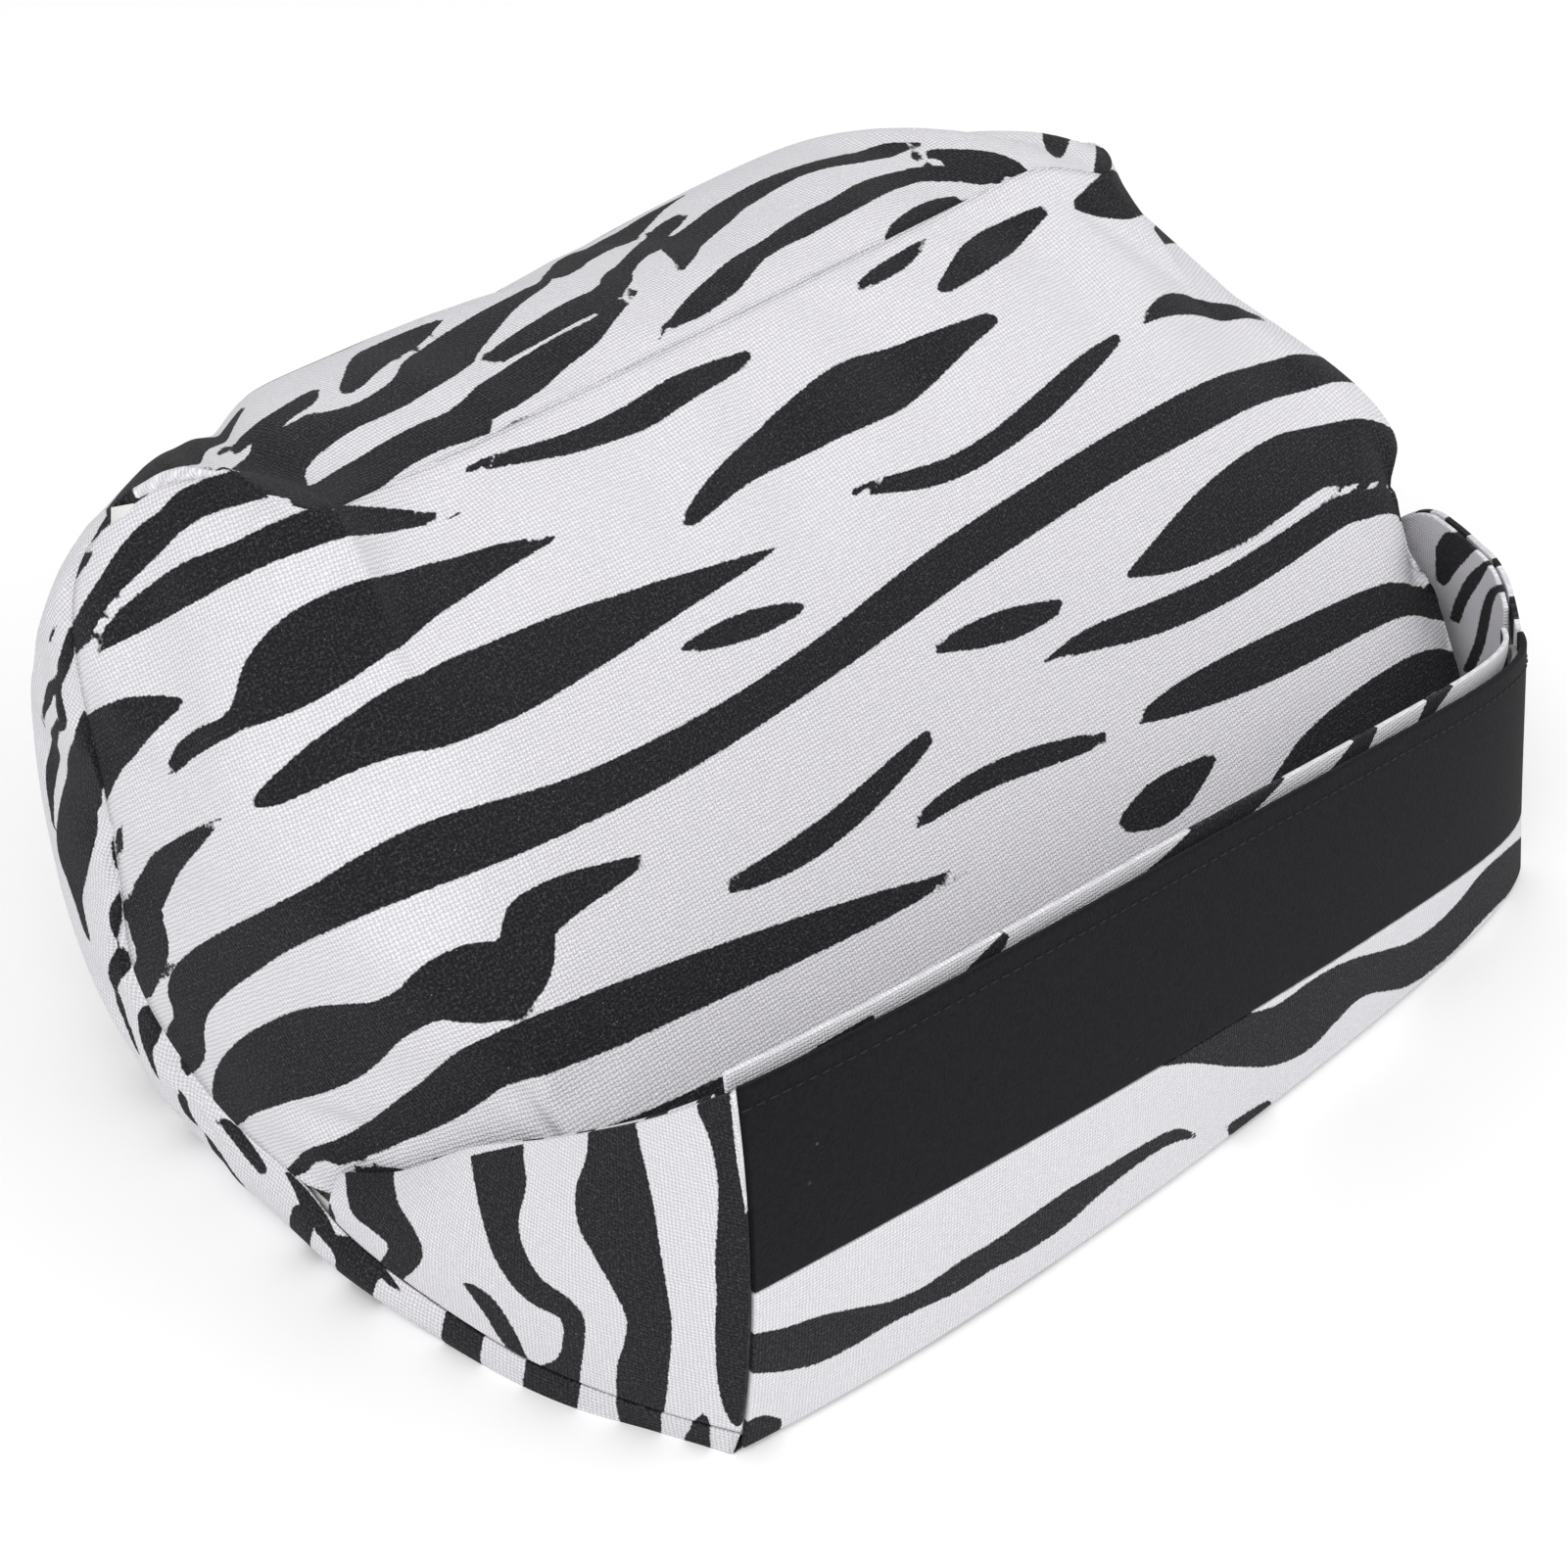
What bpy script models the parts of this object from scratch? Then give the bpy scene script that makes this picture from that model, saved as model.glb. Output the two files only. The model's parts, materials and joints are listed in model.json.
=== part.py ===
# Cushioned tablet stand: a sewn canvas bag filled with beads, with a slanted rest and a boxed
# ledge in front. Metres, +Z up. The origin is the middle of the base, +X runs along the ledge
# and -Y is the front.
import math

import bmesh
import bpy
import numpy as np
from mathutils import Matrix, Vector

for old in list(bpy.data.objects):
    bpy.data.objects.remove(old, do_unlink=True)

# Driving dimensions of the bag
BAG_HALF_WIDTH = 0.150
BAG_HALF_DEPTH = 0.118
BAG_HEIGHT = 0.157
SEAM_DEPTH = 0.118
REST_TILT = math.radians(50.0)
REST_LENGTH = 0.174
REST_SIDE_MARGIN = 0.012
TROUGH_DEPTH = 0.013
FLOOR_HEIGHT = 0.0155
CREASE_SINK = 0.012
RIGHT_SAG = 0.024
REAR_CORNER_WIDTH = 0.058
REAR_BELLY = 0.009
REAR_FOOT = 0.036
REAR_LEAN = math.radians(14.0)
SIDE_LEAN = math.radians(36.0)

# Driving dimensions of the ledge
LEDGE_SIDE_MARGIN = 0.0195
LEDGE_BELLY = 0.007
LIP_HEIGHT_LEFT = 0.0885
LIP_HEIGHT_MIDDLE = 0.080
LIP_HEIGHT_RIGHT = 0.063
BAND_HEIGHT = 0.046
LINING_FOLD = 0.0015
FRONT_BULGE = 0.0075
CORNER_TUCK = 0.0035
RIGHT_TUCK = 0.005
RIGHT_LEAN = 0.007
RIGHT_DRAW_IN = 0.005
RIGHT_DRAW_LEAN = 0.0018
WALL_BULGE = 0.003
SIDE_WALL_END_SHARE = 0.93
SIDE_LINING_END_SHARE = 0.72

# Cloth, stiffener and clearances
CANVAS = 0.0012
VELOUR = 0.0012
STIFFENER = 0.0015
LINER = 0.0005
GAP = 0.0003
CORNER_GAP = 0.0008
FLOOR_MARGIN = 0.0038
SEAT_INSET = 0.001
REST_CLEARANCE = 0.0062
WALL_OVERHANG = 0.012
LEFT_PUFF = 0.03
RIGHT_PUFF = 0.028

# The zip at the foot of the back, in its own frame: along, outward and up the cloth
ZIP_END_MARGIN = 0.009
STRIP_HEIGHT = 0.014
ZIP_SLOT = 0.009
ZIP_POCKET = 0.0045
TAPE_WIDTH = 0.0115
TAPE_THICK = 0.0008
TAPE_END = 0.003
TOOTH_PITCH = 0.003
TOOTH_WIDTH = 0.0011
TOOTH_REACH = 0.0026
TOOTH_OVERLAP = 0.0009
TOOTH_THICK = 0.0016
SPINE_WIDTH = 0.001
STOP_WIDTH = 0.002
SLIDER_LENGTH = 0.012
SLIDER_HALF_WIDTH = 0.0042
SLIDER_WALL = 0.001
BAIL_LENGTH = 0.0052
BAIL_BAR = 0.0009
BAIL_HEIGHT = 0.0028
BAIL_WIDTH = 0.0016
PULL_LENGTH = 0.024
PULL_WIDTH = 0.006
PULL_THICK = 0.0012
PULL_PIN = 0.001
PULL_WINDOW = 0.0042

# Sizes that follow from the ones above
REST_FLAT_HALF = BAG_HALF_WIDTH - REST_SIDE_MARGIN
LEDGE_HALF_WIDTH = BAG_HALF_WIDTH - LEDGE_SIDE_MARGIN
LEDGE_FRONT_Y = LEDGE_BELLY - BAG_HALF_DEPTH
REST_FOOT_Y = LEDGE_FRONT_Y + TROUGH_DEPTH
REAR_HALF = BAG_HALF_WIDTH - REAR_CORNER_WIDTH
REAR_Y = BAG_HALF_DEPTH - REAR_BELLY
ZIP_WINDOW_HALF = REAR_HALF - ZIP_END_MARGIN

# How the soft shapes bend, as shares of the length, width or height they belong to
FOOT_HEIGHT_SHARE = 0.4
SAG_START_SHARE = 0.45
SAG_INNER_SHARE = 0.6
SAG_OUTER_SHARE = 0.9
BELLY_LOW_SHARE = 0.32
BELLY_HIGH_SHARE = 0.87
LEFT_TUCK_POWER = 4
RIGHT_TUCK_POWER = 8
CREASE_START_SHARE = 0.8
CREASE_END_POWER = 6
SEAM_HANDLE_SHARE = 0.36
SEAM_FLARE_SHARE = 0.05
PUFF_FADE_SHARES = (0.35, 0.7)
FLAT_HANDLE_SHARES = (0.02, 0.22)
FLAT_HANDLE_RISE_SHARES = (0.2, 0.5)
KNOT_EASE_SHARE = 0.6

# How finely the bag's panels are divided
CURVE_STEPS = 5
MIDDLE_STEPS = 10
SIDE_STEPS = 10
UP_STEPS = 5
SHEET_STEPS = 10
SHEET_ROWS = 4
SPLINE_STEPS = 16
HALVINGS = 12
END_CROWDING_SHARE = 0.35
PROBE_SHARE = 1e-4
POINT_DIGITS = 6
FLAT_TURN_SHARE = 0.15

# Left-hand seams, from the front corner to the knot and on to the top corner: across as shares of
# the bag's half width, back from the ledge as shares of the seams' depth, up as shares of the height
LEG_SEAM_SHARES = [(-0.87, 0.001, 0.04), (-0.92, 0.158, 0.042), (-0.965, 0.368, 0.045),
                   (-0.99, 0.588, 0.064), (-1, 0.768, 0.09), (-1, 0.869, 0.127)]
SIDE_SEAM_SHARES = [(-1, 0.869, 0.127), (-0.993, 1.081, 0.146), (-1, 1.217, 0.223),
                    (-1, 1.293, 0.306), (-0.993, 1.31, 0.427), (-0.987, 1.335, 0.56),
                    (-0.973, 1.395, 0.713), (-0.94, 1.428, 0.82), (-0.89, 1.368, 0.92),
                    (-0.85, 1.268, 0.975), (-0.827, 1.174, 1)]
LEG_BASE_SHARES = [(-0.87, 0.032), (-0.91, 0.166), (-0.95, 0.293), (-0.973, 0.428),
                   (-0.985, 0.608), (-0.985, 0.751), (-0.978, 0.869)]
SIDE_BASE_SHARES = [(-0.978, 0), (-0.953, 0.24), (-0.91, 0.431), (-0.85, 0.605),
                    (-0.745, 0.817), (-0.613, 1)]
# Top edges of the ledge's side walls, in the same shares
LEFT_TOP_SHARES = [(-0.873, 0.001, 0.58), (-0.907, 0.168, 0.484), (-0.93, 0.368, 0.382),
                   (-0.947, 0.522, 0.312), (-0.967, 0.666, 0.223), (-0.987, 0.785, 0.178),
                   (-1, 0.861, 0.159)]
RIGHT_TOP_SHARES = [(0.83, 0.1, 0.4), (0.868, 0.163, 0.425), (0.907, 0.23, 0.434),
                    (0.935, 0.305, 0.433), (0.96, 0.375, 0.43), (0.98, 0.45, 0.42),
                    (0.99, 0.53, 0.375), (0.997, 0.64, 0.28), (1, 0.76, 0.2), (1, 0.861, 0.159)]
# Half width of the flat rest at even steps up its slope, as shares of the widest
LEFT_FLAT_SHARES = [0.84, 0.88, 0.93, 0.942, 0.93, 0.91, 0.87, 0.83, 0.812, 0.812, 0.812]
RIGHT_FLAT_SHARES = [0.84, 0.93, 0.985, 1.03, 1.05, 1.04, 1.0, 0.945, 0.88, 0.83, 0.812]
# Angle above level at which the back panel leaves the seam, column by column from the knot to
# the middle, and how far it holds that way and its way up from the base, as shares of its length
LEFT_LIFT_ANGLES = [-62, -61, -59, -57, -55, -53, -52, -50, -44, -28, -6, 6, 8, 9, 3, 0, 18, 25,
                    30, 33, 34]
RIGHT_LIFT_ANGLES = [-62, -61, -59, -57, -55, -53, -52, -50, -44, -34, -20, 0, 10, 22, 19, 14, 16,
                     25, 33, 33, 34]
SEAM_REACH_SHARES = [0.2, 0.2, 0.2, 0.32, 0.34]
FOOT_REACH_SHARES = [0.34, 0.34, 0.34, 0.42, 0.42]
# How far the rest keeps from the ledge's side wall, from the knot forward
LEG_INSET_SHARES = [0.0, 0.3, 0.45, 0.6, 0.8, 1.0]


def share_point(share):
    height = share[2] * BAG_HEIGHT if len(share) > 2 else 0.0
    return Vector((share[0] * BAG_HALF_WIDTH, LEDGE_FRONT_Y + share[1] * SEAM_DEPTH, height))


def table(shares, t):
    """A value read from an even table at t, from 0 to 1."""
    place = t * (len(shares) - 1)
    k = min(len(shares) - 2, int(place))
    return shares[k] + (shares[k + 1] - shares[k]) * (place - k)


def smooth(value, start, end):
    """Climbs from 0 at the start to 1 at the end, level at both."""
    t = min(1.0, max(0.0, (value - start) / (end - start)))
    return t * t * (3 - 2 * t)


def toward_ends(u):
    """A place from -1 to 1, moved so that even steps come closer together at both ends."""
    return u * (1 + END_CROWDING_SHARE * (1 - u * u))


def bezier(a, b, c, d, t):
    s = 1 - t
    return a * s ** 3 + b * 3 * s * s * t + c * 3 * s * t * t + d * t ** 3


def spline(points, steps):
    """Points at even distances along a smooth curve through the given ones."""
    ends = [2 * points[0] - points[1]] + points + [2 * points[-1] - points[-2]]
    dense = []
    for k in range(len(points) - 1):
        a, b, c, d = ends[k:k + 4]
        for i in range(SPLINE_STEPS):
            t = i / SPLINE_STEPS
            bend = (2 * a - 5 * b + 4 * c - d) * t * t + (3 * b - a - 3 * c + d) * t ** 3
            dense.append((2 * b + (c - a) * t + bend) / 2)
    dense.append(points[-1].copy())
    lengths = [0.0]
    for before, after in zip(dense, dense[1:]):
        lengths.append(lengths[-1] + (after - before).length)
    result = []
    k = 0
    for i in range(steps + 1):
        target = lengths[-1] * i / steps
        while k < len(dense) - 2 and lengths[k + 1] < target:
            k += 1
        result.append(dense[k].lerp(dense[k + 1], (target - lengths[k]) / (lengths[k + 1] - lengths[k])))
    return result


def sag(x, z):
    """How far the slack right-hand top corner sinks."""
    up = smooth(z / BAG_HEIGHT, SAG_START_SHARE, 1.0)
    return RIGHT_SAG * up * smooth(x / BAG_HALF_WIDTH, SAG_INNER_SHARE, SAG_OUTER_SHARE)


def mirrored(points):
    """The right-hand copy of a left-hand line, sagging as the bag does."""
    return [Vector((-p.x, p.y, p.z - sag(-p.x, p.z))) for p in points]


# The ledge's walls, as the outer faces of their cloth

def lip_height(x):
    """The lip falls from the left corner to the right one."""
    t = x / LEDGE_HALF_WIDTH
    ends = (LIP_HEIGHT_LEFT + LIP_HEIGHT_RIGHT) / 2
    fall = (LIP_HEIGHT_RIGHT - LIP_HEIGHT_LEFT) / 2
    return LIP_HEIGHT_MIDDLE + fall * t + (ends - LIP_HEIGHT_MIDDLE) * t * t


def front_point(x, height):
    """The front wall bellies out in its middle, and its right end leans in at the lip."""
    t = x / LEDGE_HALF_WIDTH
    up = height / lip_height(x)
    round_share = BELLY_LOW_SHARE + (BELLY_HIGH_SHARE - BELLY_LOW_SHARE) * up
    belly = FRONT_BULGE * (1 - t * t) * math.sin(math.pi * round_share)
    draw = 0.0
    if t < 0:
        tuck = CORNER_TUCK * (2 * up - 1) ** 2 * t ** LEFT_TUCK_POWER
    else:
        tuck = (RIGHT_TUCK + RIGHT_LEAN * up) * t ** RIGHT_TUCK_POWER
        draw = (RIGHT_DRAW_IN + RIGHT_DRAW_LEAN * up) * t ** RIGHT_TUCK_POWER
    return Vector((x - draw, LEDGE_FRONT_Y - belly + tuck, height))


def seat_point(x, height):
    """The bag's own front, a little behind the cloth of the front wall."""
    return front_point(x, height) + Vector((0.0, SEAT_INSET, 0.0))


leg_seam = spline([share_point(s) for s in LEG_SEAM_SHARES], CURVE_STEPS)
left_top = spline([share_point(s) for s in LEFT_TOP_SHARES], SHEET_STEPS)
right_top = spline([share_point(s) for s in RIGHT_TOP_SHARES], SHEET_STEPS)
left_top[0] = front_point(-LEDGE_HALF_WIDTH, lip_height(-LEDGE_HALF_WIDTH))
right_top[0] = front_point(LEDGE_HALF_WIDTH, lip_height(LEDGE_HALF_WIDTH))
knot = leg_seam[-1]


def side_wall_point(side, s, t):
    """A side wall of the ledge, from the front corner (s 0) to the knot (s 1)."""
    top_line = left_top if side < 0 else right_top
    foot = table(leg_seam, s)
    point = Vector((side * abs(foot.x), foot.y, foot.z)).lerp(table(top_line, s), t)
    level = min(1.0, max(0.0, t))
    point.x += side * WALL_BULGE * math.sin(math.pi * level) * 4 * s * (1 - s)
    start = Vector((side * abs(leg_seam[0].x), leg_seam[0].y, leg_seam[0].z)).lerp(top_line[0], t)
    corner = front_point(side * LEDGE_HALF_WIDTH, start.z)
    point += Vector((corner.x - start.x, corner.y - start.y, 0.0)) * (1 - s) ** 3
    return point


def floor_edge(side, s):
    """Where the trough's floor meets a side wall."""
    height = FLOOR_HEIGHT + (knot.z - FLOOR_HEIGHT) * s
    foot = side_wall_point(side, s, 0.0)
    top = side_wall_point(side, s, 1.0)
    point = side_wall_point(side, s, (height - foot.z) / (top.z - foot.z))
    if s < 1:
        point += Vector((-side * SEAT_INSET, SEAT_INSET * (1 - s), 0.0))
    return point


def keep_inside(side, point):
    """Holds a point of the rest off the inner face of the ledge's side wall."""
    if point.y >= knot.y:
        return point
    low, high = 0.0, 1.0
    for _ in range(HALVINGS):
        s = (low + high) / 2
        foot = side_wall_point(side, s, 0.0)
        top = side_wall_point(side, s, 1.0)
        t = min(1.0, max(0.0, (point.z - foot.z) / (top.z - foot.z)))
        wall = side_wall_point(side, s, t)
        if wall.y > point.y:
            high = s
        else:
            low = s
    limit = abs(wall.x) - REST_CLEARANCE + max(0.0, point.z - top.z - WALL_OVERHANG)
    point.x = side * min(abs(point.x), limit)
    return point


# The slanted rest, row by row from the trough up to the crease
slope = Vector((0.0, math.cos(REST_TILT), math.sin(REST_TILT)))
rest_normal = Vector((0.0, -math.sin(REST_TILT), math.cos(REST_TILT)))


def flat_half(side, v):
    return REST_FLAT_HALF * table(LEFT_FLAT_SHARES if side < 0 else RIGHT_FLAT_SHARES, v)


def rest_middle(t, v):
    """A point of the flat rest, t from -1 to 1 across; near the top it dips into the crease."""
    x = t * flat_half(t, v)
    dip = CREASE_SINK * smooth(v, CREASE_START_SHARE, 1.0) * (1 - t ** CREASE_END_POWER)
    point = Vector((x, REST_FOOT_Y, FLOOR_HEIGHT)) + slope * (v * REST_LENGTH) - rest_normal * dip
    point.z -= sag(x, point.z)
    return point


def rest_curve(side, seam, v):
    """Points from the side seam forward and round to the flat rest."""
    end = rest_middle(side, v)
    if v == 0:
        points = []
        for i, inset in enumerate(LEG_INSET_SHARES):
            edge = floor_edge(side, 1 - i / CURVE_STEPS)
            corner = floor_edge(side, 0.0)
            points.append(edge + (end - corner) * inset)
        return points
    chord = (end - seam).length
    forward = end - seam
    forward.x = -side * SEAM_FLARE_SHARE * abs(forward.y)
    puff = (LEFT_PUFF if side < 0 else RIGHT_PUFF) * (1 - smooth(v, *PUFF_FADE_SHARES))
    near_seam = seam + forward.normalized() * (chord * SEAM_HANDLE_SHARE) + Vector((0.0, 0.0, puff))
    least, most = FLAT_HANDLE_SHARES
    handle = chord * (least + (most - least) * smooth(v, *FLAT_HANDLE_RISE_SHARES))
    near_flat = end + Vector((side * handle, 0.0, 0.0))
    curve = [bezier(seam, near_seam, near_flat, end, i / CURVE_STEPS) for i in range(CURVE_STEPS + 1)]
    return [seam] + [keep_inside(side, point) for point in curve[1:]]


side_seam_left = spline([share_point(s) for s in SIDE_SEAM_SHARES], SIDE_STEPS)
side_seam_right = mirrored(side_seam_left)
rest_rows = []
for row in range(SIDE_STEPS + 1):
    v = row / SIDE_STEPS
    left = rest_curve(-1, side_seam_left[row], v)
    right = rest_curve(1, side_seam_right[row], v)
    middle = [rest_middle(toward_ends(2 * i / MIDDLE_STEPS - 1), v) for i in range(1, MIDDLE_STEPS)]
    rest_rows.append(left + middle + right[::-1])
crease = rest_rows[-1]

# The ring of columns that climbs from the base to the side seams and the crease
leg_base = spline([share_point(s) for s in LEG_BASE_SHARES], CURVE_STEPS)
knot_base = leg_base[-1]
side_base = [Vector((s[0] * BAG_HALF_WIDTH, knot_base.y + (REAR_Y - knot_base.y) * s[1], 0.0))
             for s in SIDE_BASE_SHARES]
side_base = spline(side_base, SIDE_STEPS)
side_base[-1] = Vector((-REAR_HALF, REAR_Y, 0.0))
rear_steps = len(crease) - 1
rear_base = [Vector((-REAR_HALF, REAR_Y, 0.0))]
for i in range(rear_steps - 1):
    rear_base.append(Vector((ZIP_WINDOW_HALF * (2 * i / (rear_steps - 2) - 1), REAR_Y, 0.0)))
rear_base.append(Vector((REAR_HALF, REAR_Y, 0.0)))
column_base = side_base + rear_base[1:] + mirrored(side_base)[::-1][1:]
column_seam = side_seam_left + crease[1:] + side_seam_right[::-1][1:]
foot_shares = [0.0, STRIP_HEIGHT / REAR_FOOT, (STRIP_HEIGHT + ZIP_SLOT) / REAR_FOOT, 1.0]


def back_column(k):
    """One line up the back, from the base over the belly to the seam."""
    last = len(column_base) - 1
    base = column_base[k]
    seam = column_seam[k]
    side = min(k, last - k) / SIDE_STEPS
    if side >= 1:
        outward = Vector((0.0, 1.0, 0.0))
    else:
        along = column_base[min(last, k + 1)] - column_base[max(0, k - 1)]
        outward = Vector((-along.y, along.x, 0.0)).normalized()
    lean = SIDE_LEAN + (REAR_LEAN - SIDE_LEAN) * smooth(side, 0.0, 1.0)
    t = min(k, last - k) / (last / 2)
    rise = Vector((0.0, 0.0, 1.0))
    foot_way = outward * math.sin(lean) + rise * math.cos(lean)
    foot = base + foot_way * min(REAR_FOOT, FOOT_HEIGHT_SHARE * seam.z)
    chord = (seam - foot).length
    angle = math.radians(table(LEFT_LIFT_ANGLES if k <= last / 2 else RIGHT_LIFT_ANGLES, t))
    seam_way = outward * math.cos(angle) + rise * math.sin(angle)
    near_foot = foot + foot_way * (chord * table(FOOT_REACH_SHARES, t))
    near_seam = seam + seam_way * (chord * table(SEAM_REACH_SHARES, t))
    column = [base.lerp(foot, share) for share in foot_shares]
    for i in range(1, UP_STEPS + 1):
        column.append(bezier(foot, near_foot, near_seam, seam, i / UP_STEPS))
    return column


back_columns = [back_column(k) for k in range(len(column_base))]


# The skin: one closed surface, whose faces are tagged with the piece of cloth they belong to
skin = bmesh.new()
piece_layer = skin.faces.layers.int.new("piece")
place_layer = skin.verts.layers.int.new("place")
REST, FLOOR, SEAT, BACK, STRIP, SLOT, BASE = range(7)
known = {}


def skin_vertex(point):
    key = tuple(round(c, POINT_DIGITS) for c in point)
    if key not in known:
        known[key] = skin.verts.new(point)
    return known[key]


def skin_face(points, piece):
    verts = []
    for point in points:
        vert = skin_vertex(point)
        if vert not in verts:
            verts.append(vert)
    if len(verts) > 2:
        skin.faces.new(verts)[piece_layer] = piece


def skin_grid(rows, piece):
    for low, high in zip(rows, rows[1:]):
        for i in range(len(low) - 1):
            skin_face((low[i], low[i + 1], high[i + 1], high[i]), piece)


skin_grid(rest_rows[1:], REST)
for i in range(len(rest_rows[0]) - 1):
    a, b, c, d = rest_rows[0][i], rest_rows[0][i + 1], rest_rows[1][i + 1], rest_rows[1][i]
    if i < len(rest_rows[0]) // 2:
        skin_face((a, b, c), REST)
        skin_face((a, c, d), REST)
    else:
        skin_face((a, b, d), REST)
        skin_face((b, c, d), REST)

first_window = SIDE_STEPS + 1
last_window = len(back_columns) - 2 - SIDE_STEPS
for k in range(len(back_columns) - 1):
    for j in range(len(foot_shares) + UP_STEPS - 1):
        piece = BACK
        if first_window <= k < last_window and j < 2:
            piece = (STRIP, SLOT)[j]
        near, far = back_columns[k], back_columns[k + 1]
        skin_face((far[j], near[j], near[j + 1], far[j + 1]), piece)

# Legs of the back panel under the ledge's side walls, and the bag's side faces behind those walls
front_xs = [LEDGE_HALF_WIDTH * toward_ends(2 * i / MIDDLE_STEPS - 1) for i in range(MIDDLE_STEPS + 1)]
leg_lines = {}
seam_corner = {}


def strip_middle(base, seam):
    """The belly of the low strip of cloth between the base and the seam over it."""
    side_way = Vector((math.copysign(1.0, base.x), 0.0, 0.0))
    way = side_way * math.sin(SIDE_LEAN) + Vector((0.0, 0.0, math.cos(SIDE_LEAN)))
    return base + way * (FOOT_HEIGHT_SHARE * seam.z)


for side in (-1, 1):
    base_line = list(leg_base) if side < 0 else mirrored(leg_base)
    draw = seat_point(side * LEDGE_HALF_WIDTH, 0.0) - base_line[0]
    base_line = [p + draw * (1 - i / CURVE_STEPS) ** 3 for i, p in enumerate(base_line)]
    seam_line = [side_wall_point(side, i / CURVE_STEPS, 0.0) for i in range(CURVE_STEPS + 1)]
    seam_line[0].y += SEAT_INSET
    seam_corner[side] = seam_line[0]
    edge_line = [floor_edge(side, i / CURVE_STEPS) for i in range(CURVE_STEPS + 1)]
    leg_lines[side] = base_line
    knot_column = back_columns[0] if side < 0 else back_columns[-1]
    for i in range(CURVE_STEPS):
        near = strip_middle(base_line[i], seam_line[i])
        far = strip_middle(base_line[i + 1], seam_line[i + 1])
        if i == 0:
            near = base_line[0].lerp(seam_line[0], 0.5)
        if i == CURVE_STEPS - 1:
            split = len(foot_shares) - 1
            skin_face((base_line[i], knot_column[0], near), BACK)
            skin_face((near, knot_column[split], seam_line[i]), BACK)
            for j in range(len(knot_column) - 1):
                hub = near if j < split else seam_line[i]
                skin_face((hub, knot_column[j], knot_column[j + 1]), BACK)
        else:
            skin_face((base_line[i], base_line[i + 1], far, near), BACK)
            skin_face((near, far, seam_line[i + 1], seam_line[i]), BACK)
        skin_face((seam_line[i], seam_line[i + 1], edge_line[i + 1], edge_line[i]), SEAT)

front_line = [seat_point(x, 0.0) for x in front_xs]
front_rows = [front_line]
for height in (leg_seam[0].z / 2, leg_seam[0].z, FLOOR_HEIGHT):
    front_rows.append([seat_point(x, height) for x in front_xs])
for side, end in ((-1, 0), (1, -1)):
    front_rows[1][end] = front_line[end].lerp(seam_corner[side], 0.5)
    front_rows[2][end] = seam_corner[side]
    front_rows[3][end] = floor_edge(side, 0.0)
skin_grid(front_rows, SEAT)

# The trough's floor, from the walls to the foot of the rest, with a margin under the walls
outer_line = [floor_edge(-1, 1 - i / CURVE_STEPS) for i in range(CURVE_STEPS)] + front_rows[-1]
outer_line += [floor_edge(1, i / CURVE_STEPS) for i in range(1, CURVE_STEPS + 1)]
margin_line = []
for outer, inner in zip(outer_line, rest_rows[0]):
    reach = (inner - outer).length
    margin_line.append(outer.lerp(inner, min(1.0, FLOOR_MARGIN / reach)) if reach else inner.copy())
skin_grid([outer_line, margin_line], SEAT)
for i in range(len(margin_line) - 1):
    tip = i in (0, len(margin_line) - 2)
    skin_face((margin_line[i], margin_line[i + 1], rest_rows[0][i + 1], rest_rows[0][i]),
              SEAT if tip else FLOOR)

base_outline = leg_lines[-1][:-1] + [c[0] for c in back_columns] + leg_lines[1][::-1][1:]
base_outline += front_line[::-1][1:-1]
skin_face(base_outline, BASE)
bmesh.ops.recalc_face_normals(skin, faces=skin.faces)


def inward_vector(vert):
    """The move that takes every face round a vertex one unit into the bag."""
    normals = np.array([f.normal for f in vert.link_faces])
    move = np.linalg.lstsq(normals, -np.ones(len(normals)), rcond=FLAT_TURN_SHARE)[0]
    move = Vector(move)
    if any(f[piece_layer] == BASE for f in vert.link_faces):
        move.z = 1.0
    return move


zip_out = Vector((0.0, math.cos(REAR_LEAN), -math.sin(REAR_LEAN)))
skin.verts.ensure_lookup_table()
skin.verts.index_update()
for vert in skin.verts:
    vert[place_layer] = vert.index
inward = [inward_vector(vert) for vert in skin.verts]
for seam in (side_seam_left, side_seam_right):
    tip, after = skin_vertex(seam[0]).index, skin_vertex(seam[1]).index
    inward[tip] = inward[tip].lerp(inward[after], KNOT_EASE_SHARE)
pocket = [0.0] * len(skin.verts)
for k in range(SIDE_STEPS, len(back_columns) - SIDE_STEPS):
    for j in range(1, len(foot_shares)):
        pocket[skin_vertex(back_columns[k][j]).index] = ZIP_POCKET

# Collections and colours
parts = bpy.data.collections.new("cushioned_tablet_stand")
cutters = bpy.data.collections.new("cutters")
for collection in (parts, cutters):
    bpy.context.scene.collection.children.link(collection)


def material(name, colour, roughness, metallic=0.0):
    result = bpy.data.materials.new(name)
    result.use_nodes = True
    shader = result.node_tree.nodes["Principled BSDF"]
    shader.inputs["Base Color"].default_value = (*colour, 1.0)
    shader.inputs["Roughness"].default_value = roughness
    shader.inputs["Metallic"].default_value = metallic
    return result


zebra_canvas = material("zebra_canvas", (0.78, 0.76, 0.8), 0.9)
black_velour = material("black_velour", (0.02, 0.018, 0.022), 0.95)
felt = material("felt", (0.45, 0.44, 0.42), 0.95)
liner_cloth = material("liner_cloth", (0.85, 0.85, 0.83), 0.85)
beads = material("beads", (0.92, 0.92, 0.92), 0.6)
zip_tape = material("zip_tape", (0.02, 0.02, 0.022), 0.85)
zip_plastic = material("zip_plastic", (0.03, 0.03, 0.032), 0.45)
zip_metal = material("zip_metal", (0.55, 0.55, 0.57), 0.3, 1.0)


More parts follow.
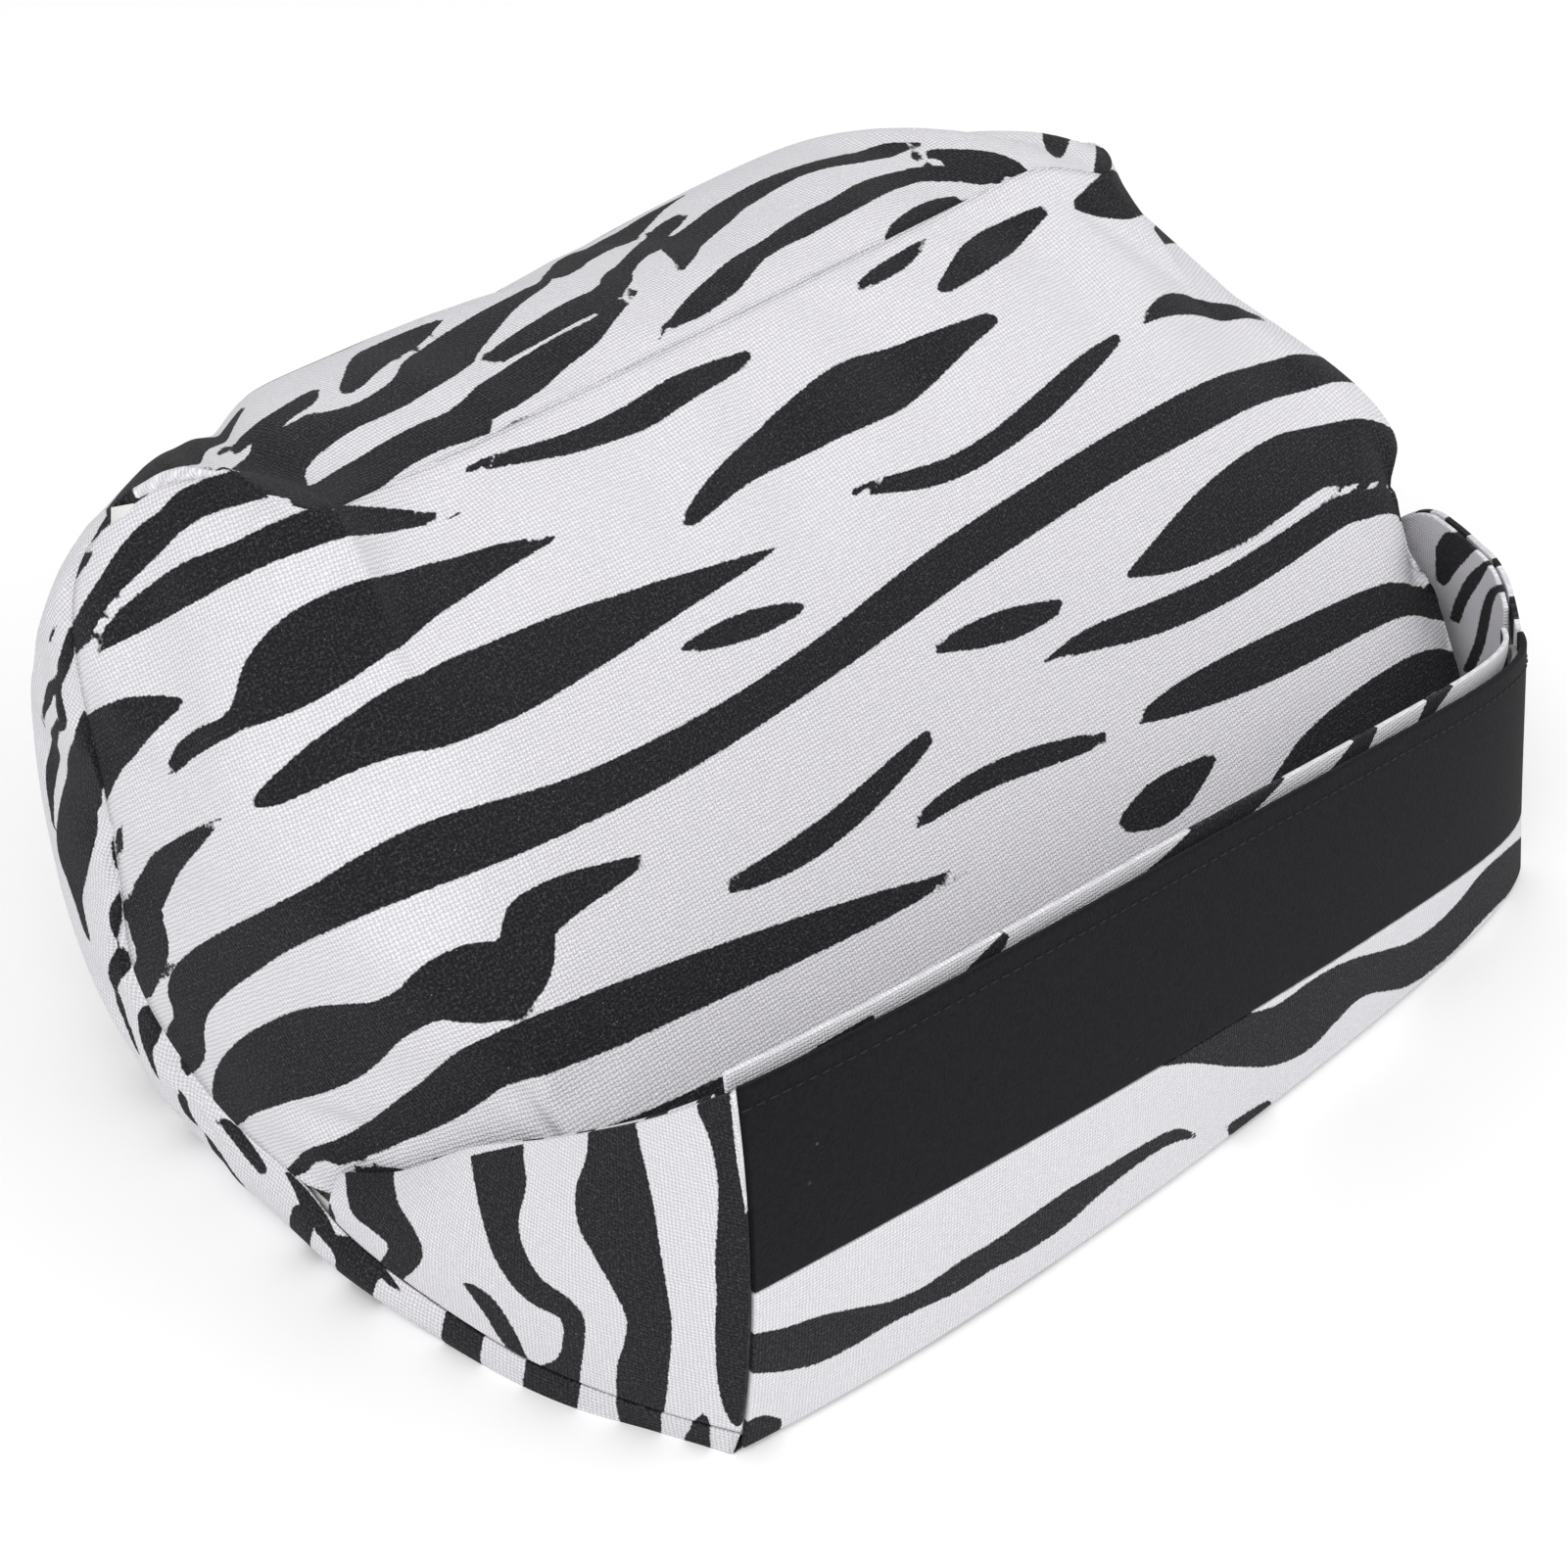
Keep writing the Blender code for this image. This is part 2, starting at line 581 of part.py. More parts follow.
def add_piece(name, bm, finish):
    mesh = bpy.data.meshes.new(name)
    bm.to_mesh(mesh)
    bm.free()
    mesh.materials.append(finish)
    piece = bpy.data.objects.new(name, mesh)
    parts.objects.link(piece)
    return piece


def seam_moves(bm):
    """For the place of each rim vertex of an open piece, the small move away from the next cloth."""
    place = bm.verts.layers.int["place"]
    moves = {}
    for vert in bm.verts:
        rows = []
        for edge in vert.link_edges:
            if not edge.is_boundary:
                continue
            face = edge.link_faces[0]
            along = (edge.verts[1].co - edge.verts[0].co).normalized()
            into = along.cross(face.normal)
            if into.dot(face.calc_center_median() - edge.verts[0].co) < 0:
                into.negate()
            rows.append(into)
        if rows:
            wanted = np.full(len(rows), GAP / 2)
            moves[vert[place]] = Vector(np.linalg.lstsq(np.array(rows), wanted, rcond=FLAT_TURN_SHARE)[0])
    return moves


def cloth_from_skin(name, pieces, near, far, finish, pocketed=False):
    """A sewn panel: the tagged faces of the skin, from one depth under it to another."""
    bm = skin.copy()
    piece = bm.faces.layers.int["piece"]
    place = bm.verts.layers.int["place"]
    bmesh.ops.delete(bm, geom=[f for f in bm.faces if f[piece] not in pieces], context="FACES")
    moves = seam_moves(bm)
    outer = list(bm.verts)
    made = bmesh.ops.extrude_face_region(bm, geom=list(bm.faces), use_keep_orig=True)["geom"]
    inner = [g for g in made if isinstance(g, bmesh.types.BMVert)]
    for verts, depth in ((outer, near), (inner, far)):
        for vert in verts:
            index = vert[place]
            vert.co += inward[index] * depth + moves.get(index, Vector())
            if pocketed:
                vert.co -= zip_out * pocket[index]
    bmesh.ops.recalc_face_normals(bm, faces=bm.faces)
    add_piece(name, bm, finish)


liner_near = CANVAS + GAP
liner_far = liner_near + LINER
fill_depth = liner_far + GAP

cloth_from_skin("rest_panel", {REST}, 0.0, CANVAS, zebra_canvas)
cloth_from_skin("back_panel", {BACK}, 0.0, CANVAS, zebra_canvas)
cloth_from_skin("rear_strip", {STRIP}, 0.0, CANVAS, zebra_canvas)
cloth_from_skin("base_panel", {BASE}, 0.0, CANVAS, zebra_canvas)
cloth_from_skin("trough_floor", {FLOOR}, 0.0, CANVAS, zebra_canvas)
cloth_from_skin("liner_front", {REST, FLOOR, SEAT}, liner_near, liner_far, liner_cloth, True)
cloth_from_skin("liner_back", {BACK, STRIP, SLOT, BASE}, liner_near, liner_far, liner_cloth, True)

filling = skin.copy()
filling.verts.ensure_lookup_table()
for vert, move, dent in zip(filling.verts, inward, pocket):
    vert.co = vert.co + move * fill_depth - zip_out * dent
add_piece("bead_filling", filling, beads)


def sheet(name, point, near, thickness, finish):
    """A slab of cloth behind a surface point(s, t), s and t from 0 to 1, starting at a depth."""
    grid = []
    bm = bmesh.new()
    for j in range(SHEET_ROWS + 1):
        line = []
        for i in range(SHEET_STEPS + 1):
            s, t = i / SHEET_STEPS, j / SHEET_ROWS
            along = point(min(1.0, s + PROBE_SHARE), t) - point(max(0.0, s - PROBE_SHARE), t)
            up = point(s, min(1.0, t + PROBE_SHARE)) - point(s, max(0.0, t - PROBE_SHARE))
            inside = up.cross(along).normalized()
            line.append(bm.verts.new(point(s, t) + inside * near))
        grid.append(line)
    for low, high in zip(grid, grid[1:]):
        for i in range(SHEET_STEPS):
            bm.faces.new((low[i], low[i + 1], high[i + 1], high[i]))
    solidify = add_piece(name, bm, finish).modifiers.new("thickness", "SOLIDIFY")
    solidify.thickness = thickness
    solidify.offset = -1.0


# The front wall: velour band over a canvas panel, a felt stiffener and the lining behind them
front_half = LEDGE_HALF_WIDTH - CANVAS - GAP
floor_top = FLOOR_HEIGHT + CORNER_GAP
stiff_near = CANVAS + 2 * GAP
lining_near = stiff_near + STIFFENER + 2 * GAP
lining_far = lining_near + CANVAS


def front_part(low, high):
    """A stretch of the front wall between two heights, each a function of x."""
    def point(s, t):
        x = front_half * toward_ends(2 * s - 1)
        return front_point(x, low(x) + (high(x) - low(x)) * t)
    return point


def band_foot(x):
    return lip_height(x) - BAND_HEIGHT


def floor_line(x):
    return floor_top


def above(line, rise):
    return lambda x: line(x) + rise


sheet("front_panel", front_part(lambda x: CANVAS + GAP, above(band_foot, -GAP)), 0.0, CANVAS, zebra_canvas)
sheet("front_band", front_part(band_foot, lip_height), 0.0, VELOUR, black_velour)
sheet("lip_stiffener", front_part(floor_line, above(lip_height, -2 * LINING_FOLD)),
      stiff_near, STIFFENER, felt)
sheet("front_lining", front_part(floor_line, above(lip_height, LINING_FOLD)),
      lining_near, CANVAS, zebra_canvas)

# The side walls: canvas outside, a lining of the same canvas inside
leg_length = sum((b - a).length for a, b in zip(leg_seam, leg_seam[1:]))
lining_start = (lining_far + GAP) / leg_length


def side_part(side, s_low, s_high, on_floor):
    """A stretch of a side wall, standing on the low strip's seam or on the trough's floor."""
    def point(s, t):
        along = s_low + (s_high - s_low) * s
        foot = side_wall_point(side, along, 0.0)
        top = side_wall_point(side, along, 1.0)
        bottom_height = floor_edge(side, along).z if on_floor else foot.z
        bottom = (bottom_height + CORNER_GAP - foot.z) / (top.z - foot.z)
        return side_wall_point(side, along, bottom + (1 - bottom) * t)
    return point


def flipped(point):
    return lambda s, t: point(1 - s, t)


for side, label in ((-1, "left"), (1, "right")):
    wall = side_part(side, 0.0, SIDE_WALL_END_SHARE, False)
    lining = side_part(side, lining_start, SIDE_LINING_END_SHARE, True)
    if side < 0:
        wall, lining = flipped(wall), flipped(lining)
    sheet("ledge_%s_wall" % label, wall, 0.0, CANVAS, zebra_canvas)
    sheet("ledge_%s_lining" % label, lining, CANVAS + 2 * GAP, CANVAS, zebra_canvas)


# The zip, modelled flat and then leaned back with the cloth
zip_middle = STRIP_HEIGHT + ZIP_SLOT / 2
tape_face = -(CANVAS + GAP)
tooth_low = tape_face + GAP
tooth_high = tooth_low + TOOTH_THICK


def box(bm, along, out, up):
    """A box between two values on each of the zip's axes."""
    low = Vector((along[0], out[0], up[0]))
    high = Vector((along[1], out[1], up[1]))
    cube = bmesh.ops.create_cube(bm, size=1.0)["verts"]
    for vert in cube:
        vert.co = Vector(((low.x + high.x) / 2 + vert.co.x * (high.x - low.x),
                          (low.y + high.y) / 2 + vert.co.y * (high.y - low.y),
                          (low.z + high.z) / 2 + vert.co.z * (high.z - low.z)))


def lean_back(piece, origin=Vector()):
    """Puts a piece modelled in the zip's frame, about origin, on the leaning cloth."""
    turn = Matrix.Rotation(-REAR_LEAN, 4, "X")
    piece.matrix_world = Matrix.Translation(Vector((0.0, REAR_Y, 0.0))) @ turn @ Matrix.Translation(origin)
    return piece


tooth_run = ZIP_WINDOW_HALF - TAPE_END - STOP_WIDTH
tooth_count = int(2 * tooth_run / TOOTH_PITCH)
first_tooth = -tooth_count * TOOTH_PITCH / 2
stop_x = first_tooth + tooth_count * TOOTH_PITCH + TOOTH_WIDTH


def coil(label, sign):
    """One edge of the zip: a row of teeth on a spine, cut as a flat comb."""
    first = first_tooth + (TOOTH_PITCH / 2 if sign < 0 else 0.0)
    spine = sign * (TOOTH_REACH - SPINE_WIDTH)
    points = [(first, sign * TOOTH_REACH)]
    for i in range(tooth_count):
        x = first + i * TOOTH_PITCH
        if i:
            points.append((x, spine))
        points.append((x, -sign * TOOTH_OVERLAP))
        points.append((x + TOOTH_WIDTH, -sign * TOOTH_OVERLAP))
        if i < tooth_count - 1:
            points.append((x + TOOTH_WIDTH, spine))
    points.append((x + TOOTH_WIDTH, sign * TOOTH_REACH))
    outline = bpy.data.curves.new("zip_coil_" + label, "CURVE")
    outline.dimensions = "2D"
    outline.fill_mode = "BOTH"
    outline.extrude = TOOTH_THICK / 2
    line = outline.splines.new("POLY")
    line.points.add(len(points) - 1)
    for place, (x, y) in zip(line.points, points):
        place.co = (x, y, 0.0, 1.0)
    line.use_cyclic_u = True
    outline.materials.append(zip_plastic)
    piece = bpy.data.objects.new("zip_coil_" + label, outline)
    parts.objects.link(piece)
    lean_back(piece, Vector((0.0, (tooth_low + tooth_high) / 2, zip_middle)))
    piece.matrix_world = piece.matrix_world @ Matrix.Rotation(math.pi / 2, 4, "X")


for sign, label in ((1, "upper"), (-1, "lower")):
    bm = bmesh.new()
    edges = sorted((zip_middle + sign * (TOOTH_OVERLAP - GAP), zip_middle + sign * TAPE_WIDTH))
    tape_half = ZIP_WINDOW_HALF + TAPE_END
    box(bm, (-tape_half, tape_half), (tape_face - TAPE_THICK, tape_face), edges)
    lean_back(add_piece("zip_tape_" + label, bm, zip_tape))
    coil(label, sign)
    bm = bmesh.new()
    ups = sorted((zip_middle + sign * GAP, zip_middle + sign * TOOTH_REACH))
    box(bm, (stop_x, stop_x + STOP_WIDTH), (tooth_low, tooth_high), ups)
    lean_back(add_piece("zip_top_stop_" + label, bm, zip_metal))

bm = bmesh.new()
box(bm, (-stop_x - STOP_WIDTH, -stop_x), (tooth_low, tooth_high),
    (zip_middle - TOOTH_REACH, zip_middle + TOOTH_REACH))
lean_back(add_piece("zip_bottom_stop", bm, zip_metal))

# The slider rides on the teeth, shut at the right-hand end; its bail holds the pull
slider_x = stop_x - SLIDER_LENGTH / 2 - GAP
plate_low = tooth_high + GAP
plate_high = plate_low + SLIDER_WALL
pin_out = plate_high + (BAIL_HEIGHT - BAIL_BAR) / 2
bm = bmesh.new()
box(bm, (-SLIDER_LENGTH / 2, SLIDER_LENGTH / 2), (plate_low, plate_high),
    (-SLIDER_HALF_WIDTH, SLIDER_HALF_WIDTH))
slider = lean_back(add_piece("zip_slider", bm, zip_metal), Vector((slider_x, 0.0, zip_middle)))


def join(target, along, out, up, operation="UNION"):
    """Joins or cuts a box with a Boolean, both in the slider's own frame."""
    bm = bmesh.new()
    box(bm, along, out, up)
    mesh = bpy.data.meshes.new("cutter")
    bm.to_mesh(mesh)
    bm.free()
    cutter = bpy.data.objects.new(target.name + "_cutter", mesh)
    cutter.matrix_world = target.matrix_world
    cutter.hide_render = True
    cutter.display_type = "WIRE"
    cutters.objects.link(cutter)
    boolean = target.modifiers.new(operation.lower(), "BOOLEAN")
    boolean.operation = operation
    boolean.object = cutter


overrun = SLIDER_WALL / 2
for sign in (-1, 1):
    ups = sorted((sign * (SLIDER_HALF_WIDTH - SLIDER_WALL), sign * SLIDER_HALF_WIDTH))
    join(slider, (-SLIDER_LENGTH / 2, SLIDER_LENGTH / 2), (tooth_low, plate_high - overrun), ups)
join(slider, (-BAIL_LENGTH / 2, BAIL_LENGTH / 2), (plate_high - overrun, plate_high + BAIL_HEIGHT),
     (-BAIL_WIDTH / 2, BAIL_WIDTH / 2))
join(slider, (-BAIL_LENGTH / 2 + BAIL_BAR, BAIL_LENGTH / 2 - BAIL_BAR),
     (plate_high, plate_high + BAIL_HEIGHT - BAIL_BAR), (-BAIL_WIDTH, BAIL_WIDTH), "DIFFERENCE")

# The pull: a plate whose end bar is caught in the bail, lying back along the zip
bm = bmesh.new()
box(bm, (-PULL_LENGTH, PULL_PIN / 2), (-PULL_THICK / 2, PULL_THICK / 2), (-PULL_WIDTH / 2, PULL_WIDTH / 2))
pull = lean_back(add_piece("zip_pull", bm, zip_metal), Vector((slider_x, pin_out, zip_middle)))
join(pull, (-PULL_PIN / 2 - PULL_WINDOW, -PULL_PIN / 2), (-PULL_THICK, PULL_THICK),
     (-BAIL_WIDTH / 2 - 2 * GAP, BAIL_WIDTH / 2 + 2 * GAP), "DIFFERENCE")
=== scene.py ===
import json
import math

import bmesh
import bpy
import numpy as np
from mathutils import Matrix, Vector
from mathutils.bvhtree import BVHTree

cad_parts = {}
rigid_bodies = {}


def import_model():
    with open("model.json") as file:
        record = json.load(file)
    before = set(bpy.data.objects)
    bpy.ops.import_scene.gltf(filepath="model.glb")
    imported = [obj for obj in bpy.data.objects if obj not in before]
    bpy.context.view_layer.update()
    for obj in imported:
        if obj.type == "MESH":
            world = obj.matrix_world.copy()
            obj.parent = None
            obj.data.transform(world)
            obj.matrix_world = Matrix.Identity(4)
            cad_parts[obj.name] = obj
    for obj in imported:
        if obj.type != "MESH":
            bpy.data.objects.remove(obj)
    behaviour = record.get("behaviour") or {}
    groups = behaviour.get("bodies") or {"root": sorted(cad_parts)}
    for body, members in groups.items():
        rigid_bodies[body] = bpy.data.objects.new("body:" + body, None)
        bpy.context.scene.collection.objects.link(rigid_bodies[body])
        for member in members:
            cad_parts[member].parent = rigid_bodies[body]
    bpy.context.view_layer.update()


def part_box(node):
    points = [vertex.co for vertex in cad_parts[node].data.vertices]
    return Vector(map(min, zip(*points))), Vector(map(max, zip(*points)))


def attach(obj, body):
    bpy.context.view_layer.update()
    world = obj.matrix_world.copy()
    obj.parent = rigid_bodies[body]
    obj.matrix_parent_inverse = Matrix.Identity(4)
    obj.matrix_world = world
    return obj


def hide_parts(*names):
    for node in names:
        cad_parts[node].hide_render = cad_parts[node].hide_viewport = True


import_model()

# The studio: the camera stands where the photograph was taken from, over a plain white floor,
# under a broad pale sky and two soft boxes.
def in_scene(name, data):
    thing = bpy.data.objects.new(name, data)
    bpy.context.scene.collection.objects.link(thing)
    return thing


def aimed(place, way):
    """Where a camera or a lamp stands that looks along the given way."""
    return Matrix.Translation(place) @ way.to_track_quat("-Z", "Y").to_matrix().to_4x4()


eye = Vector((-0.50804, -0.48145, 0.52834))
view_way = Vector((0.5907, 0.5657, -0.5753))
camera_data = bpy.data.cameras.new("camera")
camera_data.lens = 90.26
camera_data.sensor_width = 36.0
camera_data.clip_start = 0.01
camera = in_scene("camera", camera_data)
camera.matrix_world = aimed(eye, view_way)
bpy.context.scene.camera = camera

LAMP_AIM = Vector((0.0, 0.0, 0.06))
for label, place, size, power in (("key_light", (-1.3, -0.7, 1.7), 1.5, 19.0),
                                  ("fill_light", (0.9, -1.6, 1.3), 1.6, 11.0)):
    lamp = bpy.data.lights.new(label, "AREA")
    lamp.shape = "SQUARE"
    lamp.size = size
    lamp.energy = power
    in_scene(label, lamp).matrix_world = aimed(place, LAMP_AIM - Vector(place))


def feed(tree, node, sources):
    """Fills a node's inputs, by name or number: a socket is linked and a plain value written in."""
    for key, source in sources.items():
        if isinstance(source, bpy.types.NodeSocket):
            tree.links.new(source, node.inputs[key])
        elif source is not None:
            node.inputs[key].default_value = source


def wire(tree, kind, *sources, into=None, **settings):
    """Adds a node, sets it up, and fills its inputs in order, or by name from into."""
    node = tree.nodes.new(kind)
    for key, value in settings.items():
        setattr(node, key, value)
    feed(tree, node, dict(enumerate(sources)))
    feed(tree, node, into or {})
    return node


def maths(tree, operation, *sources, use_clamp=False):
    return wire(tree, "ShaderNodeMath", *sources, operation=operation, use_clamp=use_clamp).outputs[0]


SKY_STRENGTH = 0.70
WHITE = (1.0, 1.0, 1.0, 1.0)
sky = bpy.data.worlds.new("studio")
sky.use_nodes = True
bpy.context.scene.world = sky
sky_tree = sky.node_tree
sky_light = sky_tree.nodes["Background"]
feed(sky_tree, sky_light, {"Color": WHITE, "Strength": SKY_STRENGTH})
sky_seen = wire(sky_tree, "ShaderNodeBackground", WHITE)
sky_rays = wire(sky_tree, "ShaderNodeLightPath").outputs
sky_share = maths(sky_tree, "ADD", sky_rays["Is Camera Ray"], sky_rays["Is Glossy Ray"])
sky_share = maths(sky_tree, "ADD", sky_share, sky_rays["Is Transmission Ray"], use_clamp=True)
sky_mix = wire(sky_tree, "ShaderNodeMixShader", sky_share, sky_light.outputs[0], sky_seen.outputs[0])
feed(sky_tree, sky_tree.nodes["World Output"], {"Surface": sky_mix.outputs[0]})
bpy.context.scene.view_settings.view_transform = "Standard"


# The floor: a wide plain white sheet that keeps the object's shadow. It glows a little to the
# camera alone, so that it meets the sky without lighting the object.
def new_finish(name):
    finish = bpy.data.materials.new(name)
    finish.use_nodes = True
    return finish, finish.node_tree, finish.node_tree.nodes["Principled BSDF"]


FLOOR_HALF = 6.0
FLOOR_GLOW = 0.07
floor_mesh = bpy.data.meshes.new("floor")
floor_mesh.from_pydata([(-FLOOR_HALF, -FLOOR_HALF, 0), (FLOOR_HALF, -FLOOR_HALF, 0),
                        (FLOOR_HALF, FLOOR_HALF, 0), (-FLOOR_HALF, FLOOR_HALF, 0)], [], [(0, 1, 2, 3)])
floor_paint, floor_tree, floor_shader = new_finish("floor_paint")
floor_seen = wire(floor_tree, "ShaderNodeLightPath").outputs["Is Camera Ray"]
feed(floor_tree, floor_shader, {
    "Roughness": 0.9, "Base Color": (0.97, 0.97, 0.97, 1.0), "Emission Color": WHITE,
    "Emission Strength": maths(floor_tree, "MULTIPLY", floor_seen, FLOOR_GLOW)})
floor_mesh.materials.append(floor_paint)
in_scene("floor", floor_mesh)

# The bag: one panel of canvas in front, one round the back, sewn together along the sides and
# the crease and packed with beads. Its lines are spaced much closer here than in the solids.
BAG_HALF_WIDTH = 0.150
BAG_HEIGHT = 0.157
SEAM_DEPTH = 0.118
REST_TILT = math.radians(50.0)
REST_LENGTH = 0.174
TROUGH_DEPTH = 0.013
FLOOR_HEIGHT = 0.0155
CREASE_SINK = 0.012
RIGHT_SAG = 0.024
REAR_FOOT = 0.036
REAR_LEAN = math.radians(14.0)
SIDE_LEAN = math.radians(36.0)
FOOT_HEIGHT_SHARE = 0.4
STRIP_HEIGHT = 0.014
ZIP_SLOT = 0.009
LEDGE_HALF_WIDTH = 0.1305
LEDGE_FRONT_Y = -0.111
REST_FOOT_Y = LEDGE_FRONT_Y + TROUGH_DEPTH
REST_FLAT_HALF = 0.138
REAR_HALF = 0.092
REAR_Y = 0.109
ZIP_WINDOW_HALF = 0.083
LIP_HEIGHTS = (0.0885, 0.080, 0.063)
CURVE_STEPS = 20
MIDDLE_STEPS = 40
SIDE_STEPS = 40
UP_STEPS = 26
FOOT_ROWS = [0.0, 0.2, STRIP_HEIGHT / REAR_FOOT, 0.51, (STRIP_HEIGHT + ZIP_SLOT) / REAR_FOOT, 0.82, 1.0]
STRIP_ROW, SLOT_ROW = 2, 4
END_CROWDING = 0.35
SPLINE_STEPS = 400
FRONT_BELLY = 0.0075
BELLY_SPAN = (0.32, 0.55)
LEFT_TUCK = 0.0035
RIGHT_TUCK = (0.005, 0.007)
RIGHT_DRAW = (0.005, 0.0018)
SAG_UP, SAG_ACROSS = (0.45, 1.0), (0.6, 0.9)
CREASE_FROM = 0.8
WALL_BULGE = 0.003
EDGE_CLEARANCE = 0.001
REST_CLEARANCE = 0.0062
FREE_RISE = 0.012
CHEEK_PUFF = {-1: 0.030, 1: 0.028}
PUFF_ENDS = (0.35, 0.7)
CHEEK_REACH = 0.36
CHEEK_HANDLE = (0.02, 0.2)
HANDLE_GROWS = (0.2, 0.5)
CHEEK_TURN = 0.05
LEG_RISE = 1.6

# Seams as in the solids: across, back and up as shares of the bag's half width, depth and height
LEG_SEAM = [(-0.87, 0.001, 0.04), (-0.92, 0.158, 0.042), (-0.965, 0.368, 0.045),
            (-0.99, 0.588, 0.064), (-1, 0.768, 0.09), (-1, 0.869, 0.127)]
SIDE_SEAM = [(-1, 0.869, 0.127), (-0.993, 1.081, 0.146), (-1, 1.217, 0.223), (-1, 1.293, 0.306),
             (-0.993, 1.31, 0.427), (-0.987, 1.335, 0.56), (-0.973, 1.395, 0.713),
             (-0.94, 1.428, 0.82), (-0.89, 1.368, 0.92), (-0.85, 1.268, 0.975), (-0.827, 1.174, 1)]
LEG_BASE = [(-0.87, 0.032), (-0.91, 0.166), (-0.95, 0.293), (-0.973, 0.428), (-0.985, 0.608),
            (-0.985, 0.751), (-0.978, 0.869)]
SIDE_BASE = [(-0.978, 0), (-0.953, 0.24), (-0.91, 0.431), (-0.85, 0.605), (-0.745, 0.817), (-0.613, 1)]
LEFT_TOP = [(-0.907, 0.168, 0.484), (-0.93, 0.368, 0.382), (-0.947, 0.522, 0.312),
            (-0.967, 0.666, 0.223), (-0.987, 0.785, 0.178), (-1, 0.861, 0.159)]
RIGHT_TOP = [(0.868, 0.163, 0.425), (0.907, 0.23, 0.434), (0.935, 0.305, 0.433), (0.96, 0.375, 0.43),
             (0.98, 0.45, 0.42), (0.99, 0.53, 0.375), (0.997, 0.64, 0.28), (1, 0.76, 0.2),
             (1, 0.861, 0.159)]
LEFT_FLAT = [0.84, 0.88, 0.93, 0.942, 0.93, 0.91, 0.87, 0.83, 0.812, 0.812, 0.812]
RIGHT_FLAT = [0.84, 0.93, 0.985, 1.03, 1.05, 1.04, 1.0, 0.945, 0.88, 0.83, 0.812]
LEFT_LIFT = [-62, -61, -59, -57, -55, -53, -52, -50, -44, -28, -6, 6, 8, 9, 3, 0, 18, 25, 30, 33, 34]
RIGHT_LIFT = [-62, -61, -59, -57, -55, -53, -52, -50, -44, -34, -20, 0, 10, 22, 19, 14, 16, 25, 33,
              33, 34]
SEAM_REACH = [0.2, 0.2, 0.2, 0.32, 0.34]
FOOT_REACH = [0.34, 0.34, 0.34, 0.42, 0.42]
LEG_INSET = [0.0, 0.3, 0.45, 0.6, 0.8, 1.0]


def share_point(share):
    """A seam's point from its shares of the bag's sizes."""
    height = share[2] * BAG_HEIGHT if len(share) > 2 else 0.0
    return Vector((share[0] * BAG_HALF_WIDTH, LEDGE_FRONT_Y + share[1] * SEAM_DEPTH, height))


def table(values, t):
    """A value read along a smooth line through an even table, t from 0 to 1."""
    place = min(1.0, max(0.0, t)) * (len(values) - 1)
    k = min(len(values) - 2, int(place))
    t = place - k
    a = values[k - 1] if k else 2 * values[0] - values[1]
    b, c = values[k], values[k + 1]
    d = values[k + 2] if k + 2 < len(values) else 2 * values[-1] - values[-2]
    return (2 * b + (c - a) * t + (2 * a - 5 * b + 4 * c - d) * t * t + (3 * b - a - 3 * c + d) * t ** 3) / 2


def smooth(value, start, end):
    """Rises gently from 0 at start to 1 at end."""
    t = min(1.0, max(0.0, (value - start) / (end - start)))
    return t * t * (3 - 2 * t)


def toward_ends(u):
    return u * (1 + END_CROWDING * (1 - u * u))


def bezier(a, b, c, d, t):
    s = 1 - t
    return a * s ** 3 + b * 3 * s * s * t + c * 3 * s * t * t + d * t ** 3


def spline(points, steps):
    """Points at even distances along a smooth line through the given ones."""
    dense = [table(points, i / SPLINE_STEPS) for i in range(SPLINE_STEPS + 1)]
    lengths = [0.0]
    for before, after in zip(dense, dense[1:]):
        lengths.append(lengths[-1] + (after - before).length)
    result = []
    k = 0
    for i in range(steps + 1):
        target = lengths[-1] * i / steps
        while k < len(dense) - 2 and lengths[k + 1] < target:
            k += 1
        result.append(dense[k].lerp(dense[k + 1], (target - lengths[k]) / (lengths[k + 1] - lengths[k])))
    return result


def sag(x, z):
    return RIGHT_SAG * smooth(z / BAG_HEIGHT, *SAG_UP) * smooth(x / BAG_HALF_WIDTH, *SAG_ACROSS)


def mirrored(points):
    return [Vector((-p.x, p.y, p.z - sag(-p.x, p.z))) for p in points]


def lip_height(x):
    t = x / LEDGE_HALF_WIDTH
    left, middle, right = LIP_HEIGHTS
    return middle + (right - left) / 2 * t + ((left + right) / 2 - middle) * t * t


def front_point(x, height):
    """The front wall bellies out in its middle, and its right end leans in at the lip."""
    t = x / LEDGE_HALF_WIDTH
    up = height / lip_height(x)
    belly = FRONT_BELLY * (1 - t * t) * math.sin(math.pi * (BELLY_SPAN[0] + BELLY_SPAN[1] * up))
    draw = 0.0
    if t < 0:
        tuck = LEFT_TUCK * (2 * up - 1) ** 2 * t ** 4
    else:
        tuck = (RIGHT_TUCK[0] + RIGHT_TUCK[1] * up) * t ** 8
        draw = (RIGHT_DRAW[0] + RIGHT_DRAW[1] * up) * t ** 8
    return Vector((x - draw, LEDGE_FRONT_Y - belly + tuck, height))


leg_seam = spline([share_point(s) for s in LEG_SEAM], CURVE_STEPS)
lip_ends = [front_point(x, lip_height(x)) for x in (-LEDGE_HALF_WIDTH, LEDGE_HALF_WIDTH)]
left_top = spline([lip_ends[0]] + [share_point(s) for s in LEFT_TOP], CURVE_STEPS)
right_top = spline([lip_ends[1]] + [share_point(s) for s in RIGHT_TOP], CURVE_STEPS)
knot = leg_seam[-1]


